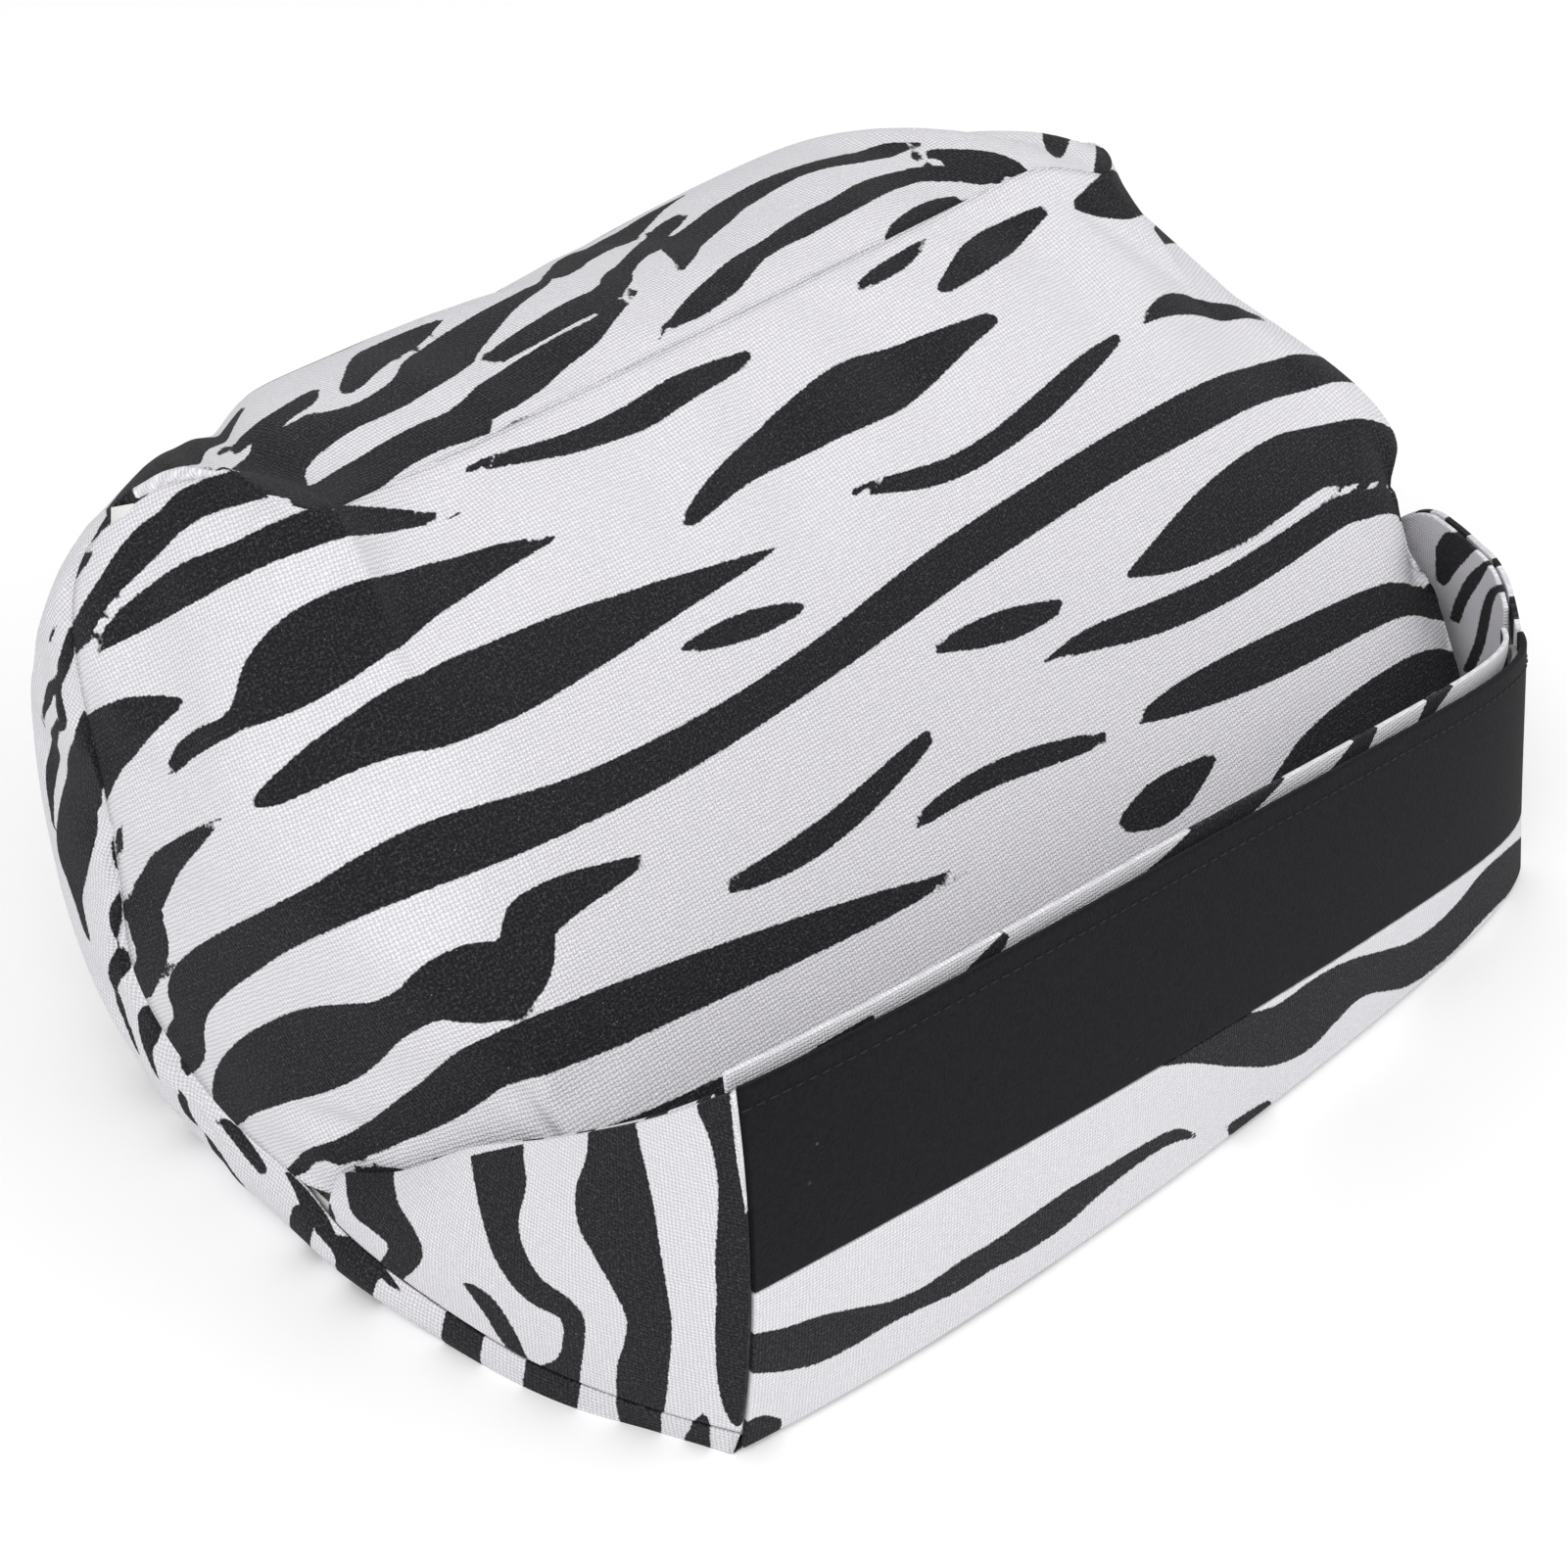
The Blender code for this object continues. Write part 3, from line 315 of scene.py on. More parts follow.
def side_wall_point(side, s, t):
    """A side wall of the ledge, from the front corner (s 0) to the knot (s 1)."""
    top_line = left_top if side < 0 else right_top
    foot = table(leg_seam, s)
    point = Vector((side * abs(foot.x), foot.y, foot.z)).lerp(table(top_line, s), t)
    point.x += side * WALL_BULGE * math.sin(math.pi * min(1.0, max(0.0, t))) * 4 * s * (1 - s)
    start = Vector((side * abs(leg_seam[0].x), leg_seam[0].y, leg_seam[0].z)).lerp(top_line[0], t)
    corner = front_point(side * LEDGE_HALF_WIDTH, start.z)
    point += Vector((corner.x - start.x, corner.y - start.y, 0.0)) * (1 - s) ** 3
    return point


def floor_edge(side, s):
    height = FLOOR_HEIGHT + (knot.z - FLOOR_HEIGHT) * s
    foot = side_wall_point(side, s, 0.0)
    top = side_wall_point(side, s, 1.0)
    point = side_wall_point(side, s, (height - foot.z) / (top.z - foot.z))
    if s < 1:
        point += Vector((-side * EDGE_CLEARANCE, EDGE_CLEARANCE * (1 - s), 0.0))
    return point


def keep_inside(side, point):
    """Holds a point of the rest off the inner face of the ledge's side wall."""
    if point.y >= knot.y:
        return point
    low, high = 0.0, 1.0
    for _ in range(9):
        s = (low + high) / 2
        foot = side_wall_point(side, s, 0.0)
        top = side_wall_point(side, s, 1.0)
        wall = foot.lerp(top, min(1.0, max(0.0, (point.z - foot.z) / (top.z - foot.z))))
        if wall.y > point.y:
            high = s
        else:
            low = s
    limit = abs(wall.x) - REST_CLEARANCE + max(0.0, point.z - top.z - FREE_RISE)
    point.x = side * min(abs(point.x), limit)
    return point


slope = Vector((0.0, math.cos(REST_TILT), math.sin(REST_TILT)))
rest_normal = Vector((0.0, -math.sin(REST_TILT), math.cos(REST_TILT)))


def rest_middle(t, v):
    """A point of the flat rest, t from -1 to 1 across; near the top it dips into the crease."""
    x = t * REST_FLAT_HALF * table(LEFT_FLAT if t < 0 else RIGHT_FLAT, v)
    dip = CREASE_SINK * smooth(v, CREASE_FROM, 1.0) * (1 - t ** 6)
    point = Vector((x, REST_FOOT_Y, FLOOR_HEIGHT)) + slope * (v * REST_LENGTH) - rest_normal * dip
    point.z -= sag(x, point.z)
    return point


def trough_row(side):
    """The rest's lowest line beside the trough, from the knot forward to the flat rest."""
    end = rest_middle(side, 0.0)
    corner = floor_edge(side, 0.0)
    row = []
    for i in range(CURVE_STEPS + 1):
        share = i / CURVE_STEPS
        row.append(floor_edge(side, 1 - share) + (end - corner) * table(LEG_INSET, share))
    return row


def cheek_row(side, seam, v):
    """A line of the rest from the side seam forward and round to its flat part."""
    end = rest_middle(side, v)
    chord = (end - seam).length
    forward = end - seam
    forward.x = -side * CHEEK_TURN * abs(forward.y)
    puff = CHEEK_PUFF[side] * (1 - smooth(v, *PUFF_ENDS))
    near_seam = seam + forward.normalized() * (chord * CHEEK_REACH) + Vector((0.0, 0.0, puff))
    handle = chord * (CHEEK_HANDLE[0] + CHEEK_HANDLE[1] * smooth(v, *HANDLE_GROWS))
    near_flat = end + Vector((side * handle, 0.0, 0.0))
    curve = [bezier(seam, near_seam, near_flat, end, i / CURVE_STEPS) for i in range(CURVE_STEPS + 1)]
    return [seam] + [keep_inside(side, point) for point in curve[1:]]


side_seam_left = spline([share_point(s) for s in SIDE_SEAM], SIDE_STEPS)
side_seam_right = mirrored(side_seam_left)
low_rows = SIDE_STEPS // 10
rest_rows = []
for row in range(SIDE_STEPS + 1):
    v = row / SIDE_STEPS
    ends = []
    for side, seam in ((-1, side_seam_left), (1, side_seam_right)):
        if row >= low_rows:
            ends.append(cheek_row(side, seam[row], v))
            continue
        lowest = trough_row(side)
        above = cheek_row(side, seam[low_rows], low_rows / SIDE_STEPS)
        share = row / low_rows
        line = [a.lerp(b, share) for a, b in zip(lowest, above)]
        move = seam[row] - line[0]
        ends.append([p + move * (1 - i / CURVE_STEPS) ** 2 for i, p in enumerate(line)])
    middle = [rest_middle(toward_ends(2 * i / MIDDLE_STEPS - 1), v) for i in range(1, MIDDLE_STEPS)]
    rest_rows.append(ends[0] + middle + ends[1][::-1])
crease = rest_rows[-1]

leg_base = spline([share_point(s) for s in LEG_BASE], CURVE_STEPS)
knot_base = leg_base[-1]
side_base = spline([Vector((s[0] * BAG_HALF_WIDTH, knot_base.y + (REAR_Y - knot_base.y) * s[1], 0.0))
                    for s in SIDE_BASE], SIDE_STEPS)
rear_steps = len(crease) - 1
rear_base = [Vector((ZIP_WINDOW_HALF * (2 * i / (rear_steps - 2) - 1), REAR_Y, 0.0))
             for i in range(rear_steps - 1)]
column_base = side_base + rear_base + [Vector((REAR_HALF, REAR_Y, 0.0))] + mirrored(side_base)[::-1][1:]
column_seam = side_seam_left + crease[1:] + side_seam_right[::-1][1:]


def back_column(k):
    """One line up the back, from the base over the belly to the seam."""
    last = len(column_base) - 1
    base, seam = column_base[k], column_seam[k]
    side = min(k, last - k) / SIDE_STEPS
    if side >= 1:
        outward = Vector((0.0, 1.0, 0.0))
    else:
        along = column_base[min(last, k + 1)] - column_base[max(0, k - 1)]
        outward = Vector((-along.y, along.x, 0.0)).normalized()
    lean = SIDE_LEAN + (REAR_LEAN - SIDE_LEAN) * smooth(side, 0.0, 1.0)
    t = min(k, last - k) / (last / 2)
    rise = Vector((0.0, 0.0, 1.0))
    foot_way = outward * math.sin(lean) + rise * math.cos(lean)
    foot = base + foot_way * min(REAR_FOOT, FOOT_HEIGHT_SHARE * seam.z)
    chord = (seam - foot).length
    angle = math.radians(table(LEFT_LIFT if k <= last / 2 else RIGHT_LIFT, t))
    near_foot = foot + foot_way * (chord * table(FOOT_REACH, t))
    seam_way = outward * math.cos(angle) + rise * math.sin(angle)
    near_seam = seam + seam_way * (chord * table(SEAM_REACH, t))
    column = [base.lerp(foot, share) for share in FOOT_ROWS]
    column += [bezier(foot, near_foot, near_seam, seam, i / UP_STEPS) for i in range(1, UP_STEPS + 1)]
    return column


def leg_column(base, seam, count, share):
    """One line of the low strip under the ledge's side wall, easing into the knot's own line."""
    side_way = Vector((math.copysign(1.0, base.x), 0.0, 0.0))
    way = side_way * math.sin(SIDE_LEAN) + Vector((0.0, 0.0, math.cos(SIDE_LEAN)))
    bend = base + way * (FOOT_HEIGHT_SHARE * LEG_RISE * seam.z) * share
    bend = bend.lerp(base.lerp(seam, 0.5), 1 - share)
    return [base.lerp(bend, j / count).lerp(bend.lerp(seam, j / count), j / count)
            for j in range(count + 1)]


back_columns = [back_column(k) for k in range(len(column_base))]
column_steps = len(back_columns[0]) - 1
leg_columns = {}
for side in (-1, 1):
    base_line = list(leg_base) if side < 0 else mirrored(leg_base)
    draw = front_point(side * LEDGE_HALF_WIDTH, 0.0) + Vector((0.0, EDGE_CLEARANCE, 0.0)) - base_line[0]
    base_line = [p + draw * (1 - i / CURVE_STEPS) ** 3 for i, p in enumerate(base_line)]
    knot_column = back_columns[0] if side < 0 else back_columns[-1]
    leg_columns[side] = []
    for i in range(CURVE_STEPS):
        share = i / CURVE_STEPS
        foot, head = base_line[i], side_wall_point(side, share, 0.0)
        plain = leg_column(foot, head, column_steps, share)
        carried = []
        for j, point in enumerate(knot_column):
            t = j / column_steps
            carried.append(foot.lerp(head, t) + (point - knot_column[0].lerp(knot_column[-1], t)))
        ease = smooth(share, 0.5, 1.0)
        leg_columns[side].append([a.lerp(b, ease) for a, b in zip(plain, carried)])
back_grid = leg_columns[-1] + back_columns + leg_columns[1][::-1]
first_window = CURVE_STEPS + SIDE_STEPS + 1
last_window = len(back_grid) - 2 - CURVE_STEPS - SIDE_STEPS

REST, BACK, STRIP, SLOT = range(4)
skin_points, skin_faces, skin_tags, known = [], [], [], {}


def skin_index(point):
    key = tuple(round(c, 6) for c in point)
    if key not in known:
        known[key] = len(skin_points)
        skin_points.append(point.copy())
    return known[key]


def skin_quad(corners, tag):
    ring = []
    for corner in corners:
        index = skin_index(corner)
        if index not in ring:
            ring.append(index)
    if len(ring) > 2:
        skin_faces.append(ring)
        skin_tags.append(tag)


for low, high in zip(rest_rows, rest_rows[1:]):
    for i in range(len(low) - 1):
        skin_quad((low[i], low[i + 1], high[i + 1], high[i]), REST)
for k in range(len(back_grid) - 1):
    for j in range(len(back_grid[0]) - 1):
        tag = BACK
        if first_window <= k < last_window and j < SLOT_ROW:
            tag = STRIP if j < STRIP_ROW else SLOT
        near, far = back_grid[k], back_grid[k + 1]
        skin_quad((far[j], near[j], near[j + 1], far[j + 1]), tag)


# The pattern pieces: each panel of the skin laid flat, as its cloth was cut before it was sewn,
# so that weave and print follow the cloth.
FLAT_ROWS, FLAT_PLACES = slice(6, 34), slice(24, 57)
REAR_MARGIN = 20
UNWRAP_ROUNDS = 30


def map_places(mesh, layer):
    """Each vertex's place in one of the mesh's maps."""
    flat = np.zeros(len(mesh.loops) * 2)
    layer.data.foreach_get("uv", flat)
    owner = np.zeros(len(mesh.loops), int)
    mesh.loops.foreach_get("vertex_index", owner)
    places = np.zeros((len(mesh.vertices), 2))
    places[owner] = flat.reshape(-1, 2)
    return places


def flat_area(places, faces):
    """The area that faces cover on the flat cloth."""
    total = 0.0
    for face in faces:
        ring = places[list(face)]
        after = np.roll(ring, -1, axis=0)
        total += abs(np.sum(ring[:, 0] * after[:, 1] - after[:, 0] * ring[:, 1])) / 2
    return total


def laid_flat(points, faces, across):
    """Each point's place on the cloth as it was cut, in metres, with u along the given values."""
    mesh = bpy.data.meshes.new("pattern_piece")
    mesh.from_pydata([tuple(p) for p in points], [], faces)
    holder = in_scene("pattern_piece", mesh)
    for other in bpy.context.view_layer.objects:
        other.select_set(False)
    bpy.context.view_layer.objects.active = holder
    holder.select_set(True)
    bpy.ops.object.mode_set(mode="EDIT")
    bpy.ops.mesh.select_all(action="SELECT")
    bpy.ops.uv.unwrap(method="MINIMUM_STRETCH", fill_holes=False, iterations=UNWRAP_ROUNDS)
    bpy.ops.object.mode_set(mode="OBJECT")
    places = map_places(mesh, mesh.uv_layers.active)
    places *= math.sqrt(surface_area(mesh) / flat_area(places, [tuple(f.vertices) for f in mesh.polygons]))
    bpy.data.objects.remove(holder)
    bpy.data.meshes.remove(mesh)
    chosen = ~np.isnan(across[:, 0])
    middle = places[chosen].mean(axis=0)
    target = across[chosen] - across[chosen].mean(axis=0)
    left, _, right = np.linalg.svd((places[chosen] - middle).T @ target)
    return (places - middle) @ (left @ right) + across[chosen].mean(axis=0)


def surface_area(mesh):
    return sum(face.area for face in mesh.polygons)


def cut_out(faces):
    """The skin's points that some faces use, and those faces in the points' new numbers."""
    used = sorted({i for face in faces for i in face})
    local = {index: k for k, index in enumerate(used)}
    return used, [[local[i] for i in face] for face in faces]


def panel_flat(faces, aims):
    used, local_faces = cut_out(faces)
    result = np.full((len(skin_at), 2), np.nan)
    result[used] = laid_flat(skin_at[used], local_faces, aims[used])
    return result


skin_at = np.array([tuple(p) for p in skin_points])
guide = np.full((len(skin_at), 2), np.nan)
for row in rest_rows[FLAT_ROWS]:
    for point in row[FLAT_PLACES]:
        guide[skin_index(point)] = (point.x, point.y * math.cos(REST_TILT) + point.z * math.sin(REST_TILT))
rest_flat = panel_flat([f for f, tag in zip(skin_faces, skin_tags) if tag == REST], guide)
guide[:] = np.nan
rear_start = CURVE_STEPS + SIDE_STEPS + REAR_MARGIN
for column in back_grid[rear_start:len(back_grid) - rear_start]:
    climb = 0.0
    for j, point in enumerate(column):
        if j:
            climb += (point - column[j - 1]).length
        if j > SLOT_ROW:
            guide[skin_index(point)] = (point.x, climb)
back_flat = panel_flat([f for f, tag in zip(skin_faces, skin_tags) if tag != REST], guide)

# Filling presses the canvas out between its seams, which hold still: a short cloth simulation
# lets both panels swell and crease. No point may travel far, and the broad swelling is taken
# back again, because the seams and lines above already have the filled bag's shape.
SWELL_LIMIT = 0.006
SWELL_PRESSURE = 3.0
BROAD_STEPS = 60
BROAD_SHARE = 0.85
SWELL_FRAMES = 20
HELD_BESIDE_LEG = 6
CLOTH_SETTINGS = {"quality": 6, "mass": 0.3, "tension_stiffness": 25.0, "compression_stiffness": 25.0,
                  "shear_stiffness": 8.0, "bending_stiffness": 0.6, "vertex_group_mass": "seams",
                  "shrink_min": -0.025, "use_pressure": True, "uniform_pressure_force": SWELL_PRESSURE}
held = np.zeros(len(skin_at))
edge_tags = {}
for face, tag in zip(skin_faces, skin_tags):
    for a, b in zip(face, face[1:] + face[:1]):
        edge_tags.setdefault((min(a, b), max(a, b)), []).append(tag)
for (a, b), tags in edge_tags.items():
    if len(tags) == 1 or tags[0] != tags[1]:
        held[a] = held[b] = 1.0
for columns in (back_grid[:CURVE_STEPS + HELD_BESIDE_LEG], back_grid[-CURVE_STEPS - HELD_BESIDE_LEG:]):
    for column in columns:
        for point in column:
            held[skin_index(point)] = 1.0
for column in back_grid[first_window - 1:last_window + 1]:
    for point in column[:SLOT_ROW + 1]:
        held[skin_index(point)] = 1.0
swollen = skin_at.copy()
mesh = bpy.data.meshes.new("swelling")
mesh.from_pydata(skin_at.tolist(), [], skin_faces)
holder = in_scene("swelling", mesh)
pins = holder.vertex_groups.new(name="seams")
for index in np.nonzero(held)[0]:
    pins.add([int(index)], 1.0, "REPLACE")
cloth = holder.modifiers.new("cloth", "CLOTH")
for key, value in CLOTH_SETTINGS.items():
    setattr(cloth.settings, key, value)
cloth.settings.effector_weights.gravity = 0.0
cloth.collision_settings.use_collision = False
for frame_number in range(1, SWELL_FRAMES + 1):
    bpy.context.scene.frame_set(frame_number)
result = holder.evaluated_get(bpy.context.evaluated_depsgraph_get()).to_mesh()
result.vertices.foreach_get("co", moved := np.zeros(len(skin_at) * 3))
travel = moved.reshape(-1, 3) - skin_at
length = np.linalg.norm(travel, axis=1, keepdims=True)
travel *= SWELL_LIMIT * np.tanh(length / SWELL_LIMIT) / np.maximum(length, 1e-9)
broad = travel.copy()
ends = np.array(list(edge_tags))
for _ in range(BROAD_STEPS):
    total = np.zeros_like(broad)
    np.add.at(total, ends[:, 0], broad[ends[:, 1]])
    np.add.at(total, ends[:, 1], broad[ends[:, 0]])
    broad = 0.5 * broad + 0.5 * total / np.bincount(ends.ravel(), minlength=len(broad))[:, None]
swollen = skin_at + (travel - BROAD_SHARE * broad) * (1 - held)[:, None]
bpy.context.scene.frame_set(1)
bpy.data.objects.remove(holder)


# The print: black stripes on white canvas, kept as lines with a width on the cloth as it was cut,
# in millimetres. Each point of a panel stores how deep it lies inside the nearest stripe.
MM = 1000.0
FARTHEST = 9.0
THINNEST_TIP = 0.7
STRIPE_STEPS = 16
DRAWN_STEPS = 8
STRIPE_WIDTHS = (3.2, 6.4)
STRIPE_WAVES = (1.0, 3.2)
WAVE_LENGTH, SWELL_LENGTH = 19.0, 13.0
WIDTH_WAVE = 0.22
FULL_WIDTH_LENGTH = 90.0
LENGTH_LOSS = 0.75
LENGTH_SPREAD = (0.6, 1.1)
LEAN_SPREAD, BEND_SPREAD = 0.06, 0.03


def bar(stations):
    """A stripe that runs along u, given as (u, low edge, high edge)."""
    return [(u, (low + high) / 2, (high - low) / 2) for u, low, high in stations]


def upright(stations):
    """A stripe that runs up the cloth, given as (v, low u, high u)."""
    return [((low + high) / 2, v, (high - low) / 2) for v, low, high in stations]


def drawn(stripe):
    """A stripe's line with its width, at close even steps."""
    count = DRAWN_STEPS * (len(stripe) - 1)
    return np.array([[table([p[c] for p in stripe], i / count) for c in range(3)]
                     for i in range(count + 1)])


def ink_depth(places, stripes):
    """How far each place lies inside the stripes, negative on the white ground."""
    depth = np.full(len(places), -FARTHEST)
    for line in stripes:
        reach = line[:, 2].max() + FARTHEST
        low, high = line[:, :2].min(axis=0) - reach, line[:, :2].max(axis=0) + reach
        near = np.nonzero(((places > low) & (places < high)).all(axis=1))[0]
        if not len(near):
            continue
        spots = places[near]
        best = np.full(len(near), -FARTHEST)
        for a, b in zip(line, line[1:]):
            way = b[:2] - a[:2]
            share = np.clip(((spots - a[:2]) @ way) / max(way @ way, 1e-9), 0.0, 1.0)
            gap = np.linalg.norm(spots - a[:2] - share[:, None] * way, axis=1)
            best = np.maximum(best, a[2] + (b[2] - a[2]) * share - gap)
        depth[near] = np.maximum(depth[near], best)
    return depth


def more_stripes(stripes, box, seed, lean, spacing=4.6, longest=130.0, tries=900):
    """Fills the rest of a panel with tapering stripes that keep clear of those already there."""
    rng = np.random.default_rng(seed)
    lines = list(stripes)
    taken = np.concatenate(lines) if lines else np.zeros((0, 3))
    (u0, v0), (u1, v1) = box
    for attempt in range(tries):
        length = longest * (1 - LENGTH_LOSS * attempt / tries) * rng.uniform(*LENGTH_SPREAD)
        middle = rng.uniform((u0, v0), (u1, v1))
        angle = math.radians(lean(*middle)) + rng.normal(0.0, LEAN_SPREAD)
        width = rng.uniform(*STRIPE_WIDTHS) * (0.55 + 0.45 * min(1.0, length / FULL_WIDTH_LENGTH))
        wave, phase, bend = rng.uniform(*STRIPE_WAVES), rng.uniform(0, 6.28), rng.normal(0.0, BEND_SPREAD)
        stripe = []
        for i in range(STRIPE_STEPS + 1):
            t = i / STRIPE_STEPS
            along = (t - 0.5) * length
            off = wave * math.sin(phase + along / WAVE_LENGTH) + bend * along * along / 12.0
            taper = min(1.0, 2.6 * t) ** 0.7 * min(1.0, 2.2 * (1 - t)) ** 0.8
            half = width * taper * (1 + WIDTH_WAVE * math.sin(phase * 2 + along / SWELL_LENGTH))
            half -= THINNEST_TIP * abs(2 * t - 1) ** 6
            stripe.append((middle[0] + along * math.cos(angle) - off * math.sin(angle),
                           middle[1] + along * math.sin(angle) + off * math.cos(angle), half))
        stripe = [p for p in stripe if p[2] > THINNEST_TIP]
        line = np.array(stripe)
        if len(taken):
            gaps = np.linalg.norm(line[:, None, :2] - taken[None, :, :2], axis=2)
            if (gaps - line[:, None, 2] - taken[None, :, 2]).min() < spacing:
                continue
        lines.append(drawn(stripe))
        taken = np.concatenate([taken, lines[-1]])
    return lines


def store_ink(mesh, depth):
    mesh.attributes.new("ink", "FLOAT", "POINT").data.foreach_set("value", depth)


def cloth_map(mesh, places):
    """Gives a mesh its cloth map, one place in metres for each vertex."""
    layer = mesh.uv_layers.new(name="cloth")
    owner = np.zeros(len(mesh.loops), int)
    mesh.loops.foreach_get("vertex_index", owner)
    layer.data.foreach_set("uv", np.asarray(places)[owner].ravel())


def print_on(mesh, stripes):
    """Prints a mesh that has its cloth map."""
    store_ink(mesh, ink_depth(map_places(mesh, mesh.uv_layers["cloth"]) * MM, stripes))


# The canvas itself: a plain weave of slightly uneven cotton, threads over and under each other.
# The ink sits on the thread tops, frays at its edges and leaves pale specks between them.
def node_group(name, takes, gives, kind="ShaderNodeTree"):
    group = bpy.data.node_groups.new(name, kind)
    for label, socket_type, value in takes:
        socket = group.interface.new_socket(label, in_out="INPUT", socket_type=socket_type)
        if value is not None:
            socket.default_value = value
    for label, socket_type in gives:
        group.interface.new_socket(label, in_out="OUTPUT", socket_type=socket_type)
    return group, group.nodes.new("NodeGroupInput"), group.nodes.new("NodeGroupOutput")


def noise(tree, places, scale, detail, output=0):
    return wire(tree, "ShaderNodeTexNoise", places, None, scale, detail).outputs[output]


def ramp(tree, value, low, high, to_low=0.0, to_high=1.0):
    return wire(tree, "ShaderNodeMapRange", value, low, high, to_low, to_high).outputs[0]


def mixed(tree, share, one, other, **settings):
    """One colour at share 0 and the other at share 1."""
    blend = wire(tree, "ShaderNodeMix", share, into={6: one, 7: other}, data_type="RGBA", **settings)
    return blend.outputs[2]


WANDER = (0.0007, 0.0007, 0.0)
CROSSING = 1.6
UNDER_HEIGHT = 0.3
GAP_HEIGHTS = (0.35, 0.75)
SHADE_HEIGHTS, DEEPEST_SHADE = (0.3, 1.05), 0.7
weave, weave_in, weave_out = node_group(
    "canvas_weave", [("Map", "NodeSocketVector", None), ("Pitch", "NodeSocketFloat", 0.0009),
                     ("Unevenness", "NodeSocketFloat", 0.25)],
    [("Height", "NodeSocketFloat"), ("Shade", "NodeSocketFloat"), ("Gap", "NodeSocketFloat")])
weave_map = weave_in.outputs["Map"]
uneven = noise(weave, weave_map, scale=420.0, detail=2.0, output="Color")
pushed = wire(weave, "ShaderNodeVectorMath", uneven, WANDER, operation="MULTIPLY")
spot = wire(weave, "ShaderNodeVectorMath", weave_map, pushed.outputs[0], operation="ADD")
split = wire(weave, "ShaderNodeSeparateXYZ", spot.outputs[0])
turns = maths(weave, "DIVIDE", math.pi, weave_in.outputs["Pitch"])
warp, weft = [maths(weave, "SINE", maths(weave, "MULTIPLY", split.outputs[axis], turns)) for axis in (0, 1)]
over = maths(weave, "MULTIPLY", maths(weave, "MULTIPLY", warp, weft), CROSSING)
over = maths(weave, "MULTIPLY_ADD", over, 0.5, 0.5, use_clamp=True)
under = maths(weave, "SUBTRACT", 1.0, over)
tops = [maths(weave, "MULTIPLY", maths(weave, "ABSOLUTE", thread),
              maths(weave, "MULTIPLY_ADD", up, 1 - UNDER_HEIGHT, UNDER_HEIGHT))
        for thread, up in ((warp, over), (weft, under))]
yarn = noise(weave, weave_map, scale=900.0, detail=3.0)
yarn = maths(weave, "MULTIPLY", yarn, weave_in.outputs["Unevenness"])
height = maths(weave, "ADD", maths(weave, "MAXIMUM", *tops), yarn)
# Shade is painted shade: it darkens the colour down to the deepest shade where the threads lie low between
# each other.
feed(weave, weave_out, {"Height": height, "Gap": ramp(weave, height, *GAP_HEIGHTS, 1.0, 0.0),
                        "Shade": ramp(weave, height, *SHADE_HEIGHTS, DEEPEST_SHADE)})


WHITE_CLOTH = (0.90, 0.885, 0.925)
BLACK_INK = (0.0125, 0.012, 0.0138)
EDGE_FRAY, INK_EDGE = 0.7, (-0.12, 0.14)
SPECK_RANGE, SPECK_SHARE = (0.62, 0.78), 0.55
# Painted sheen on the black ink: the share of its random patches, and how far it lightens the black.
PAINTED_SHEEN_RANGE, PAINTED_SHEEN_GAIN = (0.45, 0.75), 5.0
CLOTH_DRIFT = 0.97
TOP_ROUGH, GAP_ROUGH = 0.84, 0.98


def printed_canvas(name, pitch, depth):
    """Canvas with its print: pitch is that of its threads and depth their height, in metres."""
    finish, tree, shader = new_finish(name)
    cloth = wire(tree, "ShaderNodeUVMap", uv_map="cloth").outputs[0]
    threads = wire(tree, "ShaderNodeGroup", node_tree=weave, into={"Map": cloth, "Pitch": pitch}).outputs
    ink = wire(tree, "ShaderNodeAttribute", attribute_name="ink").outputs["Fac"]
    fray = maths(tree, "MULTIPLY_ADD", noise(tree, cloth, scale=1100.0, detail=1.0), EDGE_FRAY, -EDGE_FRAY / 2)
    inked = ramp(tree, maths(tree, "ADD", ink, fray), *INK_EDGE)
    speck = ramp(tree, noise(tree, cloth, scale=2300.0, detail=2.0), *SPECK_RANGE, 0.0, SPECK_SHARE)
    cover = maths(tree, "SUBTRACT", inked, maths(tree, "MULTIPLY", threads["Gap"], speck), use_clamp=True)
    pale = mixed(tree, noise(tree, cloth, scale=35.0, detail=2.0),
                 (*[c * CLOTH_DRIFT for c in WHITE_CLOTH], 1.0), (*WHITE_CLOTH, 1.0))
    # Painted sheen: the black ink is lightened on the raised thread tops, in random patches, up to five times
    # its own colour.
    painted_sheen_patches = ramp(tree, noise(tree, cloth, scale=1500.0, detail=2.0), *PAINTED_SHEEN_RANGE)
    ink_with_painted_sheen = mixed(tree, maths(tree, "MULTIPLY", painted_sheen_patches, threads["Height"]), (*BLACK_INK, 1.0),
                 (*[c * PAINTED_SHEEN_GAIN for c in BLACK_INK], 1.0))
    # Painted shade: the printed colour is multiplied by the weave's Shade, so it is darker down between the
    # threads.
    colour_with_painted_shade = mixed(tree, 1.0, mixed(tree, cover, pale, ink_with_painted_sheen), threads["Shade"], blend_type="MULTIPLY")
    bump = wire(tree, "ShaderNodeBump",
                into={"Strength": 0.9, "Distance": depth, "Height": threads["Height"]})
    feed(tree, shader, {"Base Color": colour_with_painted_shade, "Normal": bump.outputs[0],
                        "Roughness": ramp(tree, threads["Height"], 0.0, 1.0, GAP_ROUGH, TOP_ROUGH),
                        "Specular IOR Level": 0.15, "Sheen Weight": 0.04})
    return finish


zebra_canvas = printed_canvas("zebra_canvas", pitch=0.00088, depth=0.00035)

